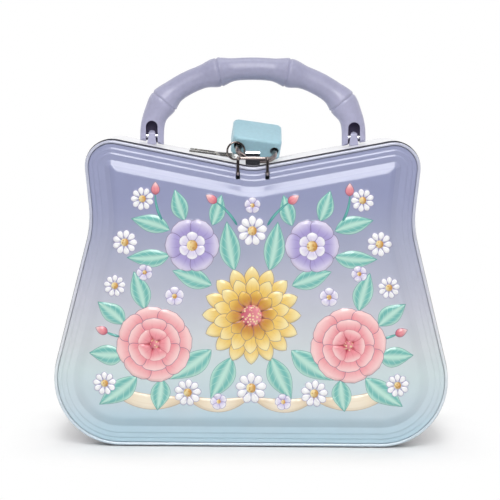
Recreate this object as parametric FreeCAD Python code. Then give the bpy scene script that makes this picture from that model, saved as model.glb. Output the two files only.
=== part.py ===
import FreeCAD, Part
import math
import os

V = FreeCAD.Vector
X_AXIS = V(1, 0, 0)
Y_AXIS = V(0, 1, 0)
Z_AXIS = V(0, 0, 1)

# Millimetres. X runs to the right, Y to the back, Z up; the origin is on the base, at mid depth.

# Front outline of the box
HALF_WIDTH = 80.0
BASE_CORNER_RADIUS = 27.5
FLARE_ANGLE = 14.0
WAIST_HEIGHT = 90.0
WAIST_RADIUS = 40.0
SHOULDER_ANGLE = 6.1
TOP_CORNER_RADIUS = 11.0
TOP_SLOPE = 10.9
DIP_HEIGHT = 113.5
DIP_RADIUS = 15.0

# Depth of the box: front bead, parting line of the lid, back bead
FRONT_BEAD_Y = -30.0
PARTING_Y = -25.0
BACK_BEAD_Y = 30.0
PARTING_GAP = 0.3

# Sheet metal
TIN = 0.5
BEAD_RADIUS = 1.0
LID_SETBACK = 0.45
LID_BAND_STEP = 0.15
PANEL_EDGE_CLEARANCE = 0.1
COLLAR_LID_CLEARANCE = 0.45
COLLAR_BODY_CLEARANCE = 0.03
COLLAR_NECK = 2.6
COLLAR_LENGTH = 14.0
COLLAR_JOGGLE = 1.0
COLLAR_END_HEIGHT = 9.0
BAND_SEAM_CLEARANCE = 0.03

# Pressed profile of the panels: inset from the outline, and rise in front of the bead's middle
FLANGE_INSET = 2.9
FLANGE_RISE = 0.3
GROOVE_INSET = 5.6
GROOVE_RISE = 0.0
SHOULDER_INSET = 8.6
SHOULDER_RISE = 2.0
FIELD_INSET = 10.6
FIELD_RISE = 3.0
FLANGE_STEP = 0.4

# Embossed blooms of the front panel: place of the middle, radius
BLOOM_RELIEF = 1.5
BLOOM_EDGE = 2.0
BLOOMS = ((0.0, 54.0, 20.0), (-39.0, 42.0, 15.5), (39.0, 42.0, 15.5), (-24.0, 82.0, 11.0), (24.0, 82.0, 11.0))

# Hinge along the bottom edge
HINGE_PIN_RADIUS = 0.75
HINGE_RUNNING_CLEARANCE = 0.05
KNUCKLE_WALL = 0.45
KNUCKLE_BASE_CLEARANCE = 0.15
KNUCKLE_COUNT = 7
KNUCKLE_GAP = 0.5
HINGE_END_MARGIN = 1.3
HINGE_PIN_OVERHANG = 0.6
LEAF_THICKNESS = 0.4
LEAF_ROOT_MARGIN = 0.15
BODY_LEAF_DEPTH = 9.0
LID_LEAF_DEPTH = 2.3
HINGE_CUT_OVERRUN = 10.8
HINGE_CUT_CLEARANCE = 0.85
HINGE_CUT_RISE = 0.3

# Nose of the hasp: a strap bent over an eye, set behind the parting line
NOSE_WIDTH = 5.8
NOSE_STRAP = 0.6
NOSE_SETBACK = 1.3
NOSE_EYE_PLAY = 2.4
NOSE_EYE_HEADROOM = 2.2
NOSE_BEND = 1.2
NOSE_TAB_LENGTH = 2.4
NOSE_TAB_GAP = 0.12
SLOT_CLEARANCE = 0.15

# Wire bail of the hasp: heights from the dip of the top
BAIL_WIRE_RADIUS = 0.6
BAIL_HALF_SPAN = 5.9
BAIL_PIVOT_DROP = 3.1
BAIL_HOOK_SETBACK = 1.3
BAIL_HOOK_LENGTH = 3.0
BAIL_FRONT_REACH = 2.1
BAIL_TOP_RISE = 3.7
BAIL_BAR_RISE = 3.2
BAIL_NOSE_GAP = 0.3
BAIL_BEND = 1.0
BAIL_SLOT_WIDTH = 1.7
BAIL_SLOT_HALF_HEIGHT = 1.2

# Coin slot in the top
COIN_SLOT_LENGTH = 34.0
COIN_SLOT_WIDTH = 5.0
COIN_SLOT_Y = 17.0

# Carrying handle: pin above the top, and middle line as steps in from the pin and up, then mirrored
HANDLE_HALF_SPAN = 41.9
HANDLE_PIN_RISE = 3.4
HANDLE_KNEE = ((0.2, 3.7), (1.2, 8.0), (3.3, 12.0), (6.0, 15.6), (12.3, 20.6), (19.6, 24.1), (26.9, 26.35),
               (34.0, 27.65))
HANDLE_TOP_RISE = 28.05
HANDLE_WAIST_RADIUS = 4.8
HANDLE_RING_RADIUS = 6.1
HANDLE_RING_LENGTH = 2.6
HANDLE_RINGS = (20.1, 46.2)
HANDLE_LEG_HALF_WIDTH = 5.0
HANDLE_LEG_HALF_DEPTH = 2.9
HANDLE_LEG_ROUND_FROM = 5.0
HANDLE_LEG_ROUND_TO = 15.0
HANDLE_SECTION_STEP = 2.0
NEARLY_ROUND = 0.9999
HANDLE_TOP_CLEARANCE = 0.5
POCKET_WIDTH = 4.9
POCKET_HEIGHT = 6.3
POCKET_BACK_Y = 1.5
POCKET_WINDOW_HEIGHT = 2.6

# Lugs that carry the handle
HANDLE_PIN_RADIUS = 0.9
HANDLE_PIN_CLEARANCE = 0.05
HANDLE_PIN_PRESS = 0.01
HANDLE_PIN_LENGTH = 8.6
LUG_BASE_HALF_WIDTH = 1.9
LUG_TOP_RADIUS = 1.35
LUG_HALF_DEPTH = 2.2
LUG_EYE_RADIUS = 2.35
LUG_STEM = 3.0
LUG_STEM_RISE = 0.5
LUG_TAB_LENGTH = 3.0
LUG_TAB_THICKNESS = 0.8
LUG_PLATE = (11.0, 16.0, 0.8)
LUG_PLATE_GAP = 0.05

# Padlock: place of the shackle's crown in the eye, lean and roll as it lies on the dip
PADLOCK_SHIFT = 1.4
PADLOCK_FRONT_PLAY = 0.8
PADLOCK_RISE = 1.2
PADLOCK_LEAN = 25.0
PADLOCK_ROLL = 8.5
PADLOCK_WIDTH = 20.2
PADLOCK_LENGTH = 17.5
PADLOCK_THICKNESS = 8.4
PADLOCK_CORNER = 2.6
PADLOCK_EDGE = 1.2
COVER_WALL = 0.9
COVER_CLEARANCE = 0.03
SHACKLE_RADIUS = 1.1
SHACKLE_HALF_SPAN = 7.5
SHACKLE_REACH = 10.3
SHACKLE_LONG_LEG = 12.0
SHACKLE_SHORT_LEG = 6.0
SHACKLE_CLEARANCE = 0.08
SHACKLE_HOLE_RELIEF = 0.7
SHACKLE_TIP_RADIUS = 0.4
CYLINDER_RADIUS = 3.0
CYLINDER_LENGTH = 8.0
CYLINDER_CLEARANCE = 0.06
KEYWAY = (1.0, 3.4, 5.0)
CYLINDER_CRANK_RADIUS = 0.7
CYLINDER_CRANK_OFFSET = 1.4
CYLINDER_CRANK_LENGTH = 1.2
BOLT_WIDTH = 2.4
BOLT_THICKNESS = 2.4
BOLT_TRAVEL = 1.0
BOLT_CLEARANCE = 0.1
BOLT_INNER_END = 1.35
BOLT_PRONG = 1.1
BOLT_PRONG_GAP = 0.3
NOTCH_DEPTH = 0.75

# Key ring on the long leg of the shackle: how far along, its hang below level, and its slack
RING_RADIUS = 3.6
RING_WIRE_RADIUS = 0.4
RING_ALONG = 8.9
RING_HANG = 53.0
RING_SLACK = 1.5

# Keys that lie on the left slope: place on the ring, tilt down to the slope, fan towards the front
KEY_BOW_RADIUS = 4.2
KEY_HOLE_RADIUS = 2.0
KEY_BOW_OFFSET = 1.4
KEY_THICKNESS = 0.7
KEY_BLADE_WIDTH = 3.2
KEY_BLADE_LENGTH = 11.0
KEY_BITS = ((3.0, 0.9), (5.6, 0.6), (8.2, 0.8))
KEY_BIT_WIDTH = 1.2
KEY_FRONT = (18.0, 3.7, 4.0)
KEY_BACK = (35.0, 4.5, -24.0)

# Edges count as parallel to an axis above this cosine, and as level within this distance
PARALLEL = 0.9
LEVEL = 0.001

# Places that follow from the sizes above
BEAD_INSET = LID_SETBACK + BEAD_RADIUS
LID_BAND_INSET = LID_SETBACK + LID_BAND_STEP
BAND_BACK_Y = BACK_BEAD_Y - math.sqrt(BEAD_RADIUS ** 2 - (BEAD_RADIUS - TIN) ** 2) - BAND_SEAM_CLEARANCE
DIP_FLOOR = DIP_HEIGHT + DIP_RADIUS * (1 / math.cos(math.radians(TOP_SLOPE)) - 1)
KNUCKLE_RADIUS = HINGE_PIN_RADIUS + HINGE_RUNNING_CLEARANCE + KNUCKLE_WALL
HINGE_HEIGHT = KNUCKLE_RADIUS + KNUCKLE_BASE_CLEARANCE
HINGE_HALF_LENGTH = HALF_WIDTH - BASE_CORNER_RADIUS - HINGE_END_MARGIN
KNUCKLE_PITCH = (2 * HINGE_HALF_LENGTH + KNUCKLE_GAP) / KNUCKLE_COUNT
NOSE_FRONT_Y = PARTING_Y + NOSE_SETBACK
NOSE_BACK_Y = NOSE_FRONT_Y + 2 * NOSE_STRAP + 2 * SHACKLE_RADIUS + NOSE_EYE_PLAY
NOSE_TAB_TOP = DIP_FLOOR - TIN - NOSE_TAB_GAP
PADLOCK_CROWN = V(PADLOCK_SHIFT, NOSE_FRONT_Y + NOSE_STRAP + PADLOCK_FRONT_PLAY + SHACKLE_RADIUS,
                  DIP_HEIGHT + PADLOCK_RISE + SHACKLE_RADIUS)
NOSE_EYE_TOP = PADLOCK_CROWN.z + SHACKLE_RADIUS + NOSE_EYE_HEADROOM
BAIL_PIVOT_Y = FRONT_BEAD_Y - FLANGE_RISE + TIN / 2
BAIL_PIVOT_HEIGHT = DIP_HEIGHT - BAIL_PIVOT_DROP
HANDLE_PIN_HEIGHT = DIP_HEIGHT + HANDLE_HALF_SPAN * math.tan(math.radians(TOP_SLOPE)) + HANDLE_PIN_RISE
CYLINDER_INNER_END = SHACKLE_REACH + PADLOCK_LENGTH - COVER_WALL - CYLINDER_LENGTH
BOLT_ALONG = SHACKLE_REACH + SHACKLE_SHORT_LEG - BOLT_WIDTH


def unit(angle):
    """Unit vector in the front plane at an angle from +X."""
    return V(math.cos(math.radians(angle)), 0, math.sin(math.radians(angle)))


def edges_along(shape, axis):
    """Edges of a shape that start parallel to an axis."""
    return [edge for edge in shape.Edges if abs(edge.tangentAt(edge.FirstParameter).dot(axis)) > PARALLEL]


def meet(line_a, line_b, shift):
    """Point of the front plane where two outline lines cross after both move out by shift."""
    (na, ca), (nb, cb) = line_a, line_b
    ca, cb = ca + shift, cb + shift
    det = na.x * nb.z - na.z * nb.x
    return V((ca * nb.z - cb * na.z) / det, 0, (na.x * cb - nb.x * ca) / det)


def mirrored(line):
    """Outline line reflected from the right half to the left half."""
    normal, offset = line
    return V(-normal.x, 0, normal.z), offset


def outline_lines():
    """Straight sides of the outline, anticlockwise from the base, as outward normal and distance."""
    base = (V(0, 0, -1), 0.0)
    flare_normal = unit(FLARE_ANGLE)
    corner = V(HALF_WIDTH - BASE_CORNER_RADIUS, 0, BASE_CORNER_RADIUS)
    flare = (flare_normal, flare_normal.dot(corner) + BASE_CORNER_RADIUS)
    waist = V((flare[1] - flare_normal.z * WAIST_HEIGHT) / flare_normal.x, 0, WAIST_HEIGHT)
    side_normal = unit(-SHOULDER_ANGLE)
    side = (side_normal, side_normal.dot(waist))
    top_normal = unit(90 + TOP_SLOPE)
    top = (top_normal, top_normal.z * DIP_HEIGHT)
    return [base, flare, side, top, mirrored(top), mirrored(side), mirrored(flare)]


LINES = outline_lines()
# Corner after each line: radius, and +1 where it bulges out or -1 where it curves in
CORNERS = [
    (BASE_CORNER_RADIUS, 1),
    (WAIST_RADIUS, -1),
    (TOP_CORNER_RADIUS, 1),
    (DIP_RADIUS, -1),
    (TOP_CORNER_RADIUS, 1),
    (WAIST_RADIUS, -1),
    (BASE_CORNER_RADIUS, 1),
]


def outline(inset, y=0.0):
    """Closed wire of the outline, moved in by inset, in the plane at depth y; it starts at mid base."""
    depth = V(0, y, 0)
    start = V(0, 0, inset) + depth
    edges = []
    here = start
    for index, (radius, bulge) in enumerate(CORNERS):
        line, after = LINES[index], LINES[(index + 1) % len(LINES)]
        centre = meet(line, after, -bulge * radius) + depth
        reach = bulge * (radius - bulge * inset)
        middle = (line[0] + after[0]).normalize()
        first, last = centre + line[0] * reach, centre + after[0] * reach
        edges.append(Part.LineSegment(here, first).toShape())
        edges.append(Part.Arc(first, centre + middle * reach, last).toShape())
        here = last
    edges.append(Part.LineSegment(here, start).toShape())
    return Part.Wire(edges)


def top_height(x, inset=0.0):
    """Height of the sloping top at a distance from the middle, clear of the dip's round."""
    normal, offset = LINES[3]
    return (offset - inset - normal.x * abs(x)) / normal.z


def plate(inset, y_front, y_back):
    """Flat slab with the outline's shape."""
    return Part.Face(outline(inset, y_front)).extrude(V(0, y_back - y_front, 0))


def ring(section):
    """Solid swept round the outline from a closed wire drawn on the base, as inset and depth."""
    sweep = Part.BRepOffsetAPI.MakePipeShell(outline(0.0))
    sweep.setBiNormalMode(Y_AXIS)
    sweep.add(section)
    sweep.build()
    sweep.makeSolid()
    return sweep.shape()


def section_point(inset, y):
    return V(0, y, inset)


def section_polygon(points):
    return Part.makePolygon([section_point(*point) for point in points + points[:1]])


def box(x0, x1, y0, y1, z0, z1):
    return Part.makeBox(x1 - x0, y1 - y0, z1 - z0, V(x0, y0, z0))


def rod(radius, start, end):
    return Part.makeCylinder(radius, (end - start).Length, start, end - start)


def bent_wire(points, bend, radius):
    """Round wire through the points, with each corner bent to the same radius."""
    edges = []
    here = points[0]
    for before, corner, after in zip(points, points[1:], points[2:]):
        into, out = (before - corner).normalize(), (after - corner).normalize()
        half = into.getAngle(out) / 2
        first, last = corner + into * (bend / math.tan(half)), corner + out * (bend / math.tan(half))
        centre = corner + (into + out).normalize() * (bend / math.sin(half))
        edges.append(Part.LineSegment(here, first).toShape())
        edges.append(Part.Arc(first, centre + (corner - centre).normalize() * bend, last).toShape())
        here = last
    edges.append(Part.LineSegment(here, points[-1]).toShape())
    circle = Part.Wire(Part.makeCircle(radius, points[0], points[1] - points[0]))
    return Part.Wire(edges).makePipeShell([circle], True, False)


def panel_profile(bead_y, facing):
    """Front face of a pressed panel as inset and depth; facing is -1 at the front and +1 at the back."""
    steps = ((FLANGE_INSET, FLANGE_RISE), (GROOVE_INSET - FLANGE_STEP, FLANGE_RISE),
             (GROOVE_INSET, GROOVE_RISE), (GROOVE_INSET + FLANGE_STEP, GROOVE_RISE),
             (SHOULDER_INSET, SHOULDER_RISE), (FIELD_INSET, FIELD_RISE))
    return [(inset, bead_y + facing * rise) for inset, rise in steps]


def pressed_sheet(face, facing):
    """Sheet of one thickness behind a face profile, with its flat field filled in."""
    back = [(inset, y - facing * TIN) for inset, y in reversed(face)]
    border = ring(section_polygon(face + back))
    inset, y = face[-1]
    field = plate(inset, y, y - facing * TIN)
    return border.fuse(field).removeSplitter()


def hinge_cut():
    """Room for the knuckles between the bottom edges of lid and body."""
    half_length = HINGE_HALF_LENGTH + HINGE_CUT_OVERRUN
    half_depth = KNUCKLE_RADIUS + HINGE_CUT_CLEARANCE
    return box(-half_length, half_length, PARTING_Y - half_depth, PARTING_Y + half_depth,
               -TIN, HINGE_HEIGHT + HINGE_CUT_RISE)


def nose_legs(grow):
    """Two boxes where the nose's legs pass through the top, grown by a clearance."""
    half = NOSE_WIDTH / 2 + grow
    low = NOSE_TAB_TOP - NOSE_STRAP
    front = box(-half, half, NOSE_FRONT_Y - grow, NOSE_FRONT_Y + NOSE_STRAP + grow, low, NOSE_EYE_TOP)
    back = box(-half, half, NOSE_BACK_Y - NOSE_STRAP - grow, NOSE_BACK_Y + grow, low, NOSE_EYE_TOP)
    return front.fuse(back)


def nose_tabs(grow):
    """Ends of the nose's legs, bent back under the top."""
    half = NOSE_WIDTH / 2 + grow
    low, high = NOSE_TAB_TOP - NOSE_STRAP - grow, NOSE_TAB_TOP + grow
    front = box(-half, half, NOSE_FRONT_Y - grow, NOSE_FRONT_Y + NOSE_TAB_LENGTH + grow, low, high)
    back = box(-half, half, NOSE_BACK_Y - NOSE_STRAP - grow, NOSE_BACK_Y + NOSE_TAB_LENGTH + grow, low, high)
    return front.fuse(back)


def coin_slot():
    """Round-ended slot through the top."""
    half_width = COIN_SLOT_WIDTH / 2
    straight = COIN_SLOT_LENGTH / 2 - half_width
    low, high = DIP_HEIGHT - 2 * TIN, HANDLE_PIN_HEIGHT
    slot = box(-straight, straight, COIN_SLOT_Y - half_width, COIN_SLOT_Y + half_width, low, high)
    for x in (-straight, straight):
        slot = slot.fuse(rod(half_width, V(x, COIN_SLOT_Y, low), V(x, COIN_SLOT_Y, high)))
    return slot


def body_band():
    """Side strip of the body, with the base, the coin slot and the openings of what is fixed to it."""
    front = PARTING_Y + PARTING_GAP / 2
    back = BAND_BACK_Y
    band = plate(0.0, front, back).cut(plate(TIN, front - TIN, back + TIN))
    band = band.cut(hinge_cut())
    band = band.cut(nose_legs(SLOT_CLEARANCE))
    for side in (-1, 1):
        band = band.cut(lug_stem(side, SLOT_CLEARANCE))
    return band.cut(coin_slot())


def back_panel():
    """Pressed back, with the rolled seam that grips the band's back edge."""
    face = panel_profile(BACK_BEAD_Y, 1)
    face = [(BEAD_RADIUS, BACK_BEAD_Y + FLANGE_RISE)] + face
    sheet = pressed_sheet(face, 1)
    circle = Part.Wire(Part.makeCircle(BEAD_RADIUS, section_point(BEAD_RADIUS, BACK_BEAD_Y), X_AXIS))
    return ring(circle).fuse(sheet).removeSplitter()


def inner_collar():
    """Neck strip inside the body's front edge that the lid seats over; it ends above the base."""
    outer = TIN + COLLAR_BODY_CLEARANCE
    neck = LID_BAND_INSET + TIN + COLLAR_LID_CLEARANCE
    front = PARTING_Y - COLLAR_NECK
    bend_front = PARTING_Y + PARTING_GAP
    bend_back = bend_front + COLLAR_JOGGLE
    back = front + COLLAR_LENGTH
    face = [(outer, back), (outer, bend_back), (neck, bend_front), (neck, front)]
    collar = ring(section_polygon(face + [(inset + TIN, y) for inset, y in reversed(face)]))
    collar = collar.cut(box(-HALF_WIDTH, HALF_WIDTH, front - TIN, back + TIN, -TIN, COLLAR_END_HEIGHT))
    return collar.cut(nose_legs(SLOT_CLEARANCE)).cut(nose_tabs(SLOT_CLEARANCE))


def lid_band():
    """Shallow side strip of the lid, rolled into a bead round the front."""
    outer = LID_BAND_INSET
    inner = LID_BAND_INSET + TIN
    back = PARTING_Y - PARTING_GAP / 2

    def on_bead(inset):
        return FRONT_BEAD_Y + math.sqrt(BEAD_RADIUS ** 2 - (BEAD_INSET - inset) ** 2)

    corners = [section_point(outer, back), section_point(outer, on_bead(outer)),
               section_point(inner, on_bead(inner)), section_point(inner, back)]
    bead = Part.Arc(corners[1], section_point(BEAD_INSET, FRONT_BEAD_Y - BEAD_RADIUS), corners[2]).toShape()
    section = Part.Wire([Part.LineSegment(corners[0], corners[1]).toShape(), bead,
                         Part.LineSegment(corners[2], corners[3]).toShape(),
                         Part.LineSegment(corners[3], corners[0]).toShape()])
    return ring(section).cut(hinge_cut())


def lid_panel():
    """Pressed front with its embossed blooms, held behind the bead by its flange."""
    edge = LID_BAND_INSET + TIN + PANEL_EDGE_CLEARANCE
    tuck = FRONT_BEAD_Y + BEAD_RADIUS + PANEL_EDGE_CLEARANCE
    face = [(edge, tuck), (FLANGE_INSET - FLANGE_STEP, tuck)] + panel_profile(FRONT_BEAD_Y, -1)
    panel = pressed_sheet(face, -1)
    field_y = FRONT_BEAD_Y - FIELD_RISE
    root_y = field_y + TIN / 2
    for x, z, radius in BLOOMS:
        bloom = Part.makeCone(radius, radius - BLOOM_EDGE, BLOOM_RELIEF + TIN / 2, V(x, root_y, z), -Y_AXIS)
        panel = panel.fuse(bloom)
    half = BAIL_SLOT_WIDTH / 2
    low, high = BAIL_PIVOT_HEIGHT - BAIL_SLOT_HALF_HEIGHT, BAIL_PIVOT_HEIGHT + BAIL_SLOT_HALF_HEIGHT
    for side in (-1, 1):
        x = side * BAIL_HALF_SPAN
        panel = panel.cut(box(x - half, x + half, field_y, tuck + TIN, low, high))
    return panel.removeSplitter()


def knuckle_spans():
    """Ends of each knuckle along X."""
    starts = [-HINGE_HALF_LENGTH + index * KNUCKLE_PITCH for index in range(KNUCKLE_COUNT)]
    return [(start, start + KNUCKLE_PITCH - KNUCKLE_GAP) for start in starts]


def hinge_leaf(first, facing, seat, depth):
    """Leaf on the inside of the base, with every second knuckle curled round the pin."""
    spans = knuckle_spans()
    bore = HINGE_PIN_RADIUS + HINGE_RUNNING_CLEARANCE
    root = PARTING_Y + facing * (bore + LEAF_ROOT_MARGIN)
    edge = PARTING_Y + facing * (KNUCKLE_RADIUS + HINGE_CUT_CLEARANCE)
    far = root + facing * depth
    leaf = box(spans[0][0], spans[-1][1], min(edge, far), max(edge, far), seat, seat + LEAF_THICKNESS)
    for x0, x1 in spans[first::2]:
        leaf = leaf.fuse(box(x0, x1, min(root, edge), max(root, edge), seat, seat + LEAF_THICKNESS))
        start, end = V(x0, PARTING_Y, HINGE_HEIGHT), V(x1, PARTING_Y, HINGE_HEIGHT)
        leaf = leaf.fuse(rod(KNUCKLE_RADIUS, start, end)).cut(rod(bore, start, end))
    return leaf.removeSplitter()


def hinge_pin():
    reach = HINGE_HALF_LENGTH + HINGE_PIN_OVERHANG
    return rod(HINGE_PIN_RADIUS, V(-reach, PARTING_Y, HINGE_HEIGHT), V(reach, PARTING_Y, HINGE_HEIGHT))


def bent_crown(block, top, bend):
    """Block with its two crosswise top edges rounded."""
    crown = [edge for edge in edges_along(block, X_AXIS) if abs(edge.CenterOfMass.z - top) < LEVEL]
    return block.makeFillet(bend, crown)


def catch_staple():
    """Strap bent over the eye that the padlock goes through, clinched under the top."""
    half = NOSE_WIDTH / 2
    top = NOSE_EYE_TOP + NOSE_STRAP
    low = NOSE_TAB_TOP - NOSE_STRAP
    outside = box(-half, half, NOSE_FRONT_Y, NOSE_BACK_Y, low, top)
    inside = box(-NOSE_WIDTH, NOSE_WIDTH, NOSE_FRONT_Y + NOSE_STRAP, NOSE_BACK_Y - NOSE_STRAP,
                 low - TIN, NOSE_EYE_TOP)
    strap = bent_crown(outside, top, NOSE_BEND).cut(bent_crown(inside, NOSE_EYE_TOP, NOSE_BEND - NOSE_STRAP))
    return strap.fuse(nose_tabs(0.0)).removeSplitter()


def hasp_bail():
    """Wire loop that hangs in the slots of the front flange and lies over the rim in front of the nose."""
    hook_y = BAIL_PIVOT_Y + BAIL_HOOK_SETBACK
    front_y = BAIL_PIVOT_Y - BAIL_FRONT_REACH
    bar_y = NOSE_FRONT_Y - BAIL_NOSE_GAP - BAIL_WIRE_RADIUS
    side = [(BAIL_HALF_SPAN + BAIL_HOOK_LENGTH, hook_y, BAIL_PIVOT_HEIGHT),
            (BAIL_HALF_SPAN, hook_y, BAIL_PIVOT_HEIGHT),
            (BAIL_HALF_SPAN, front_y, BAIL_PIVOT_HEIGHT),
            (BAIL_HALF_SPAN, front_y, DIP_HEIGHT + BAIL_TOP_RISE),
            (BAIL_HALF_SPAN, bar_y, DIP_HEIGHT + BAIL_BAR_RISE)]
    points = [V(*point) for point in side] + [V(-x, y, z) for x, y, z in reversed(side)]
    return bent_wire(points, BAIL_BEND, BAIL_WIRE_RADIUS)


def handle_path():
    """Middle line of the handle from below the left pin over the top to below the right pin."""
    leg = [(0.0, -HANDLE_LEG_ROUND_FROM), (0.0, 0.0)]
    right = [(HANDLE_HALF_SPAN - step, HANDLE_PIN_HEIGHT + rise) for step, rise in leg + list(HANDLE_KNEE)]
    top = [V(0, 0, HANDLE_PIN_HEIGHT + HANDLE_TOP_RISE)]
    curve = Part.BSplineCurve()
    curve.interpolate([V(-x, 0, z) for x, z in right] + top + [V(x, 0, z) for x, z in reversed(right)])
    return curve


def handle_radii(along, length):
    """Half width and half depth of the handle at a distance from the start of its middle line."""
    near = min(along, length - along)
    gap = min(abs(near - ring_at) for ring_at in HANDLE_RINGS)
    bulge = (HANDLE_RING_RADIUS - HANDLE_WAIST_RADIUS) * math.exp(-(gap / HANDLE_RING_LENGTH) ** 2)
    width = HANDLE_WAIST_RADIUS + bulge
    share = (near - HANDLE_LEG_ROUND_FROM) / (HANDLE_LEG_ROUND_TO - HANDLE_LEG_ROUND_FROM)
    share = min(max(share, 0.0), 1.0)
    ease = share * share * (3 - 2 * share)
    leg_width = HANDLE_LEG_HALF_WIDTH + bulge * ease
    return (leg_width + (width - leg_width) * ease,
            HANDLE_LEG_HALF_DEPTH + (width - HANDLE_LEG_HALF_DEPTH) * ease)


def handle_section(curve, parameter, along, length):
    """Ellipse across the handle's middle line."""
    centre = curve.value(parameter)
    tangent = curve.tangent(parameter)[0]
    across = tangent.cross(Y_AXIS).normalize()
    wide, deep = handle_radii(along, length)
    deep = min(deep, wide * NEARLY_ROUND)
    ellipse = Part.Ellipse(centre + across * wide, centre + Y_AXIS * deep, centre)
    return Part.Wire(ellipse.toShape())


def handle_solid():
    curve = handle_path()
    length = curve.length()
    count = int(length / HANDLE_SECTION_STEP)
    sections = []
    for index in range(count + 1):
        along = length * index / count
        sections.append(handle_section(curve, curve.parameterAtDistance(along), along, length))
    return Part.makeLoft(sections, True, False)


def leg_end(side):
    """Cone round the pin that the leg's end is rounded to, so that it turns clear of the sloping top."""
    inner = HANDLE_HALF_SPAN - HANDLE_LEG_HALF_WIDTH
    outer = HANDLE_HALF_SPAN + HANDLE_LEG_HALF_WIDTH
    near, far = [HANDLE_PIN_HEIGHT - top_height(x) - HANDLE_TOP_CLEARANCE for x in (inner, outer)]
    return Part.makeCone(near, far, outer - inner, V(side * inner, 0, HANDLE_PIN_HEIGHT), X_AXIS * side)


def pocket(side):
    """Arched pocket of a leg, open at the front and below; its back is open only near the lug."""
    half = POCKET_WIDTH / 2
    x = side * HANDLE_HALF_SPAN
    low = HANDLE_PIN_HEIGHT - 2 * HANDLE_LEG_ROUND_FROM
    crown = HANDLE_PIN_HEIGHT + POCKET_HEIGHT - half
    front = -2 * HANDLE_LEG_HALF_WIDTH
    recess = box(x - half, x + half, front, POCKET_BACK_Y, low, crown)
    recess = recess.fuse(rod(half, V(x, front, crown), V(x, POCKET_BACK_Y, crown)))
    window = box(x - half, x + half, 0, -front, low, HANDLE_PIN_HEIGHT + POCKET_WINDOW_HEIGHT)
    return recess.fuse(window)


def handle_pin(side, radius):
    x = side * HANDLE_HALF_SPAN
    half = HANDLE_PIN_LENGTH / 2
    return rod(radius, V(x - half, 0, HANDLE_PIN_HEIGHT), V(x + half, 0, HANDLE_PIN_HEIGHT))


def handle():
    """Bamboo-look arch with a pocket in each leg."""
    arch = handle_solid()
    for side in (-1, 1):
        x = side * HANDLE_HALF_SPAN
        reach = 2 * HANDLE_LEG_HALF_WIDTH
        below = box(x - reach, x + reach, -reach, reach, HANDLE_PIN_HEIGHT - reach, HANDLE_PIN_HEIGHT)
        arch = arch.cut(below.cut(leg_end(side)))
        arch = arch.cut(pocket(side))
        arch = arch.cut(handle_pin(side, HANDLE_PIN_RADIUS + HANDLE_PIN_PRESS))
    return arch


def handle_pins():
    return Part.makeCompound([handle_pin(side, HANDLE_PIN_RADIUS) for side in (-1, 1)])


def on_slope(side, shape):
    """Move a shape drawn about the origin to the top surface at a leg, turned to the slope."""
    place = FreeCAD.Placement(V(side * HANDLE_HALF_SPAN, 0, top_height(HANDLE_HALF_SPAN, TIN)),
                              FreeCAD.Rotation(Y_AXIS, -side * TOP_SLOPE))
    moved = shape.copy()
    moved.Placement = place
    return moved


def lug_stem(side, grow):
    """Foot of a lug where it passes through the top, grown by a clearance."""
    wide, deep = LUG_BASE_HALF_WIDTH + grow, LUG_HALF_DEPTH + grow
    return on_slope(side, box(-wide, wide, -deep, deep, -LUG_STEM, LUG_STEM))


def lug_tongue(side):
    """Bell-shaped tongue above the top, rounded over the pin."""
    x = side * HANDLE_HALF_SPAN
    base = top_height(HANDLE_HALF_SPAN)
    crown = HANDLE_PIN_HEIGHT + LUG_EYE_RADIUS - LUG_TOP_RADIUS
    left, right = V(x - LUG_TOP_RADIUS, 0, crown), V(x + LUG_TOP_RADIUS, 0, crown)
    foot_left, foot_right = V(x - LUG_BASE_HALF_WIDTH, 0, base), V(x + LUG_BASE_HALF_WIDTH, 0, base)
    edges = [Part.LineSegment(foot_left, foot_right), Part.LineSegment(foot_right, right),
             Part.Arc(right, V(x, 0, crown + LUG_TOP_RADIUS), left), Part.LineSegment(left, foot_left)]
    tongue = Part.Face(Part.Wire([edge.toShape() for edge in edges])).extrude(V(0, 2 * LUG_HALF_DEPTH, 0))
    tongue.translate(V(0, -LUG_HALF_DEPTH, 0))
    reach = 2 * LUG_EYE_RADIUS
    eye = rod(LUG_EYE_RADIUS, V(x - reach, 0, HANDLE_PIN_HEIGHT), V(x + reach, 0, HANDLE_PIN_HEIGHT))
    below = box(x - reach, x + reach, -reach, reach, base - reach, HANDLE_PIN_HEIGHT)
    return tongue.common(eye.fuse(below))


def handle_lug(side):
    """Tongue that carries a leg's pin, with a stem clinched below the backing plate."""
    wide, deep = LUG_BASE_HALF_WIDTH, LUG_HALF_DEPTH
    tab_top = -LUG_PLATE[2] - 2 * LUG_PLATE_GAP
    tab_low = tab_top - LUG_TAB_THICKNESS
    stem = box(-wide, wide, -deep, deep, tab_low, LUG_STEM_RISE)
    tabs = box(-wide, wide, -deep - LUG_TAB_LENGTH, deep + LUG_TAB_LENGTH, tab_low, tab_top)
    lug = lug_tongue(side).fuse(on_slope(side, stem.fuse(tabs)))
    return lug.cut(handle_pin(side, HANDLE_PIN_RADIUS + HANDLE_PIN_CLEARANCE)).removeSplitter()


def lug_plates():
    """Backing plates under the top at the two lugs."""
    wide, deep, thick = LUG_PLATE
    blank = box(-wide / 2, wide / 2, -deep / 2, deep / 2, -thick - LUG_PLATE_GAP, -LUG_PLATE_GAP)
    return Part.makeCompound([on_slope(side, blank).cut(lug_stem(side, SLOT_CLEARANCE)) for side in (-1, 1)])


def in_padlock(shape):
    """Move a shape from the padlock's own axes: X across, Y from the shackle's crown to the key end."""
    turn = FreeCAD.Rotation(X_AXIS, PADLOCK_LEAN).multiply(FreeCAD.Rotation(Y_AXIS, PADLOCK_ROLL))
    moved = shape.copy()
    moved.Placement = FreeCAD.Placement(PADLOCK_CROWN, turn)
    return moved


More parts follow.
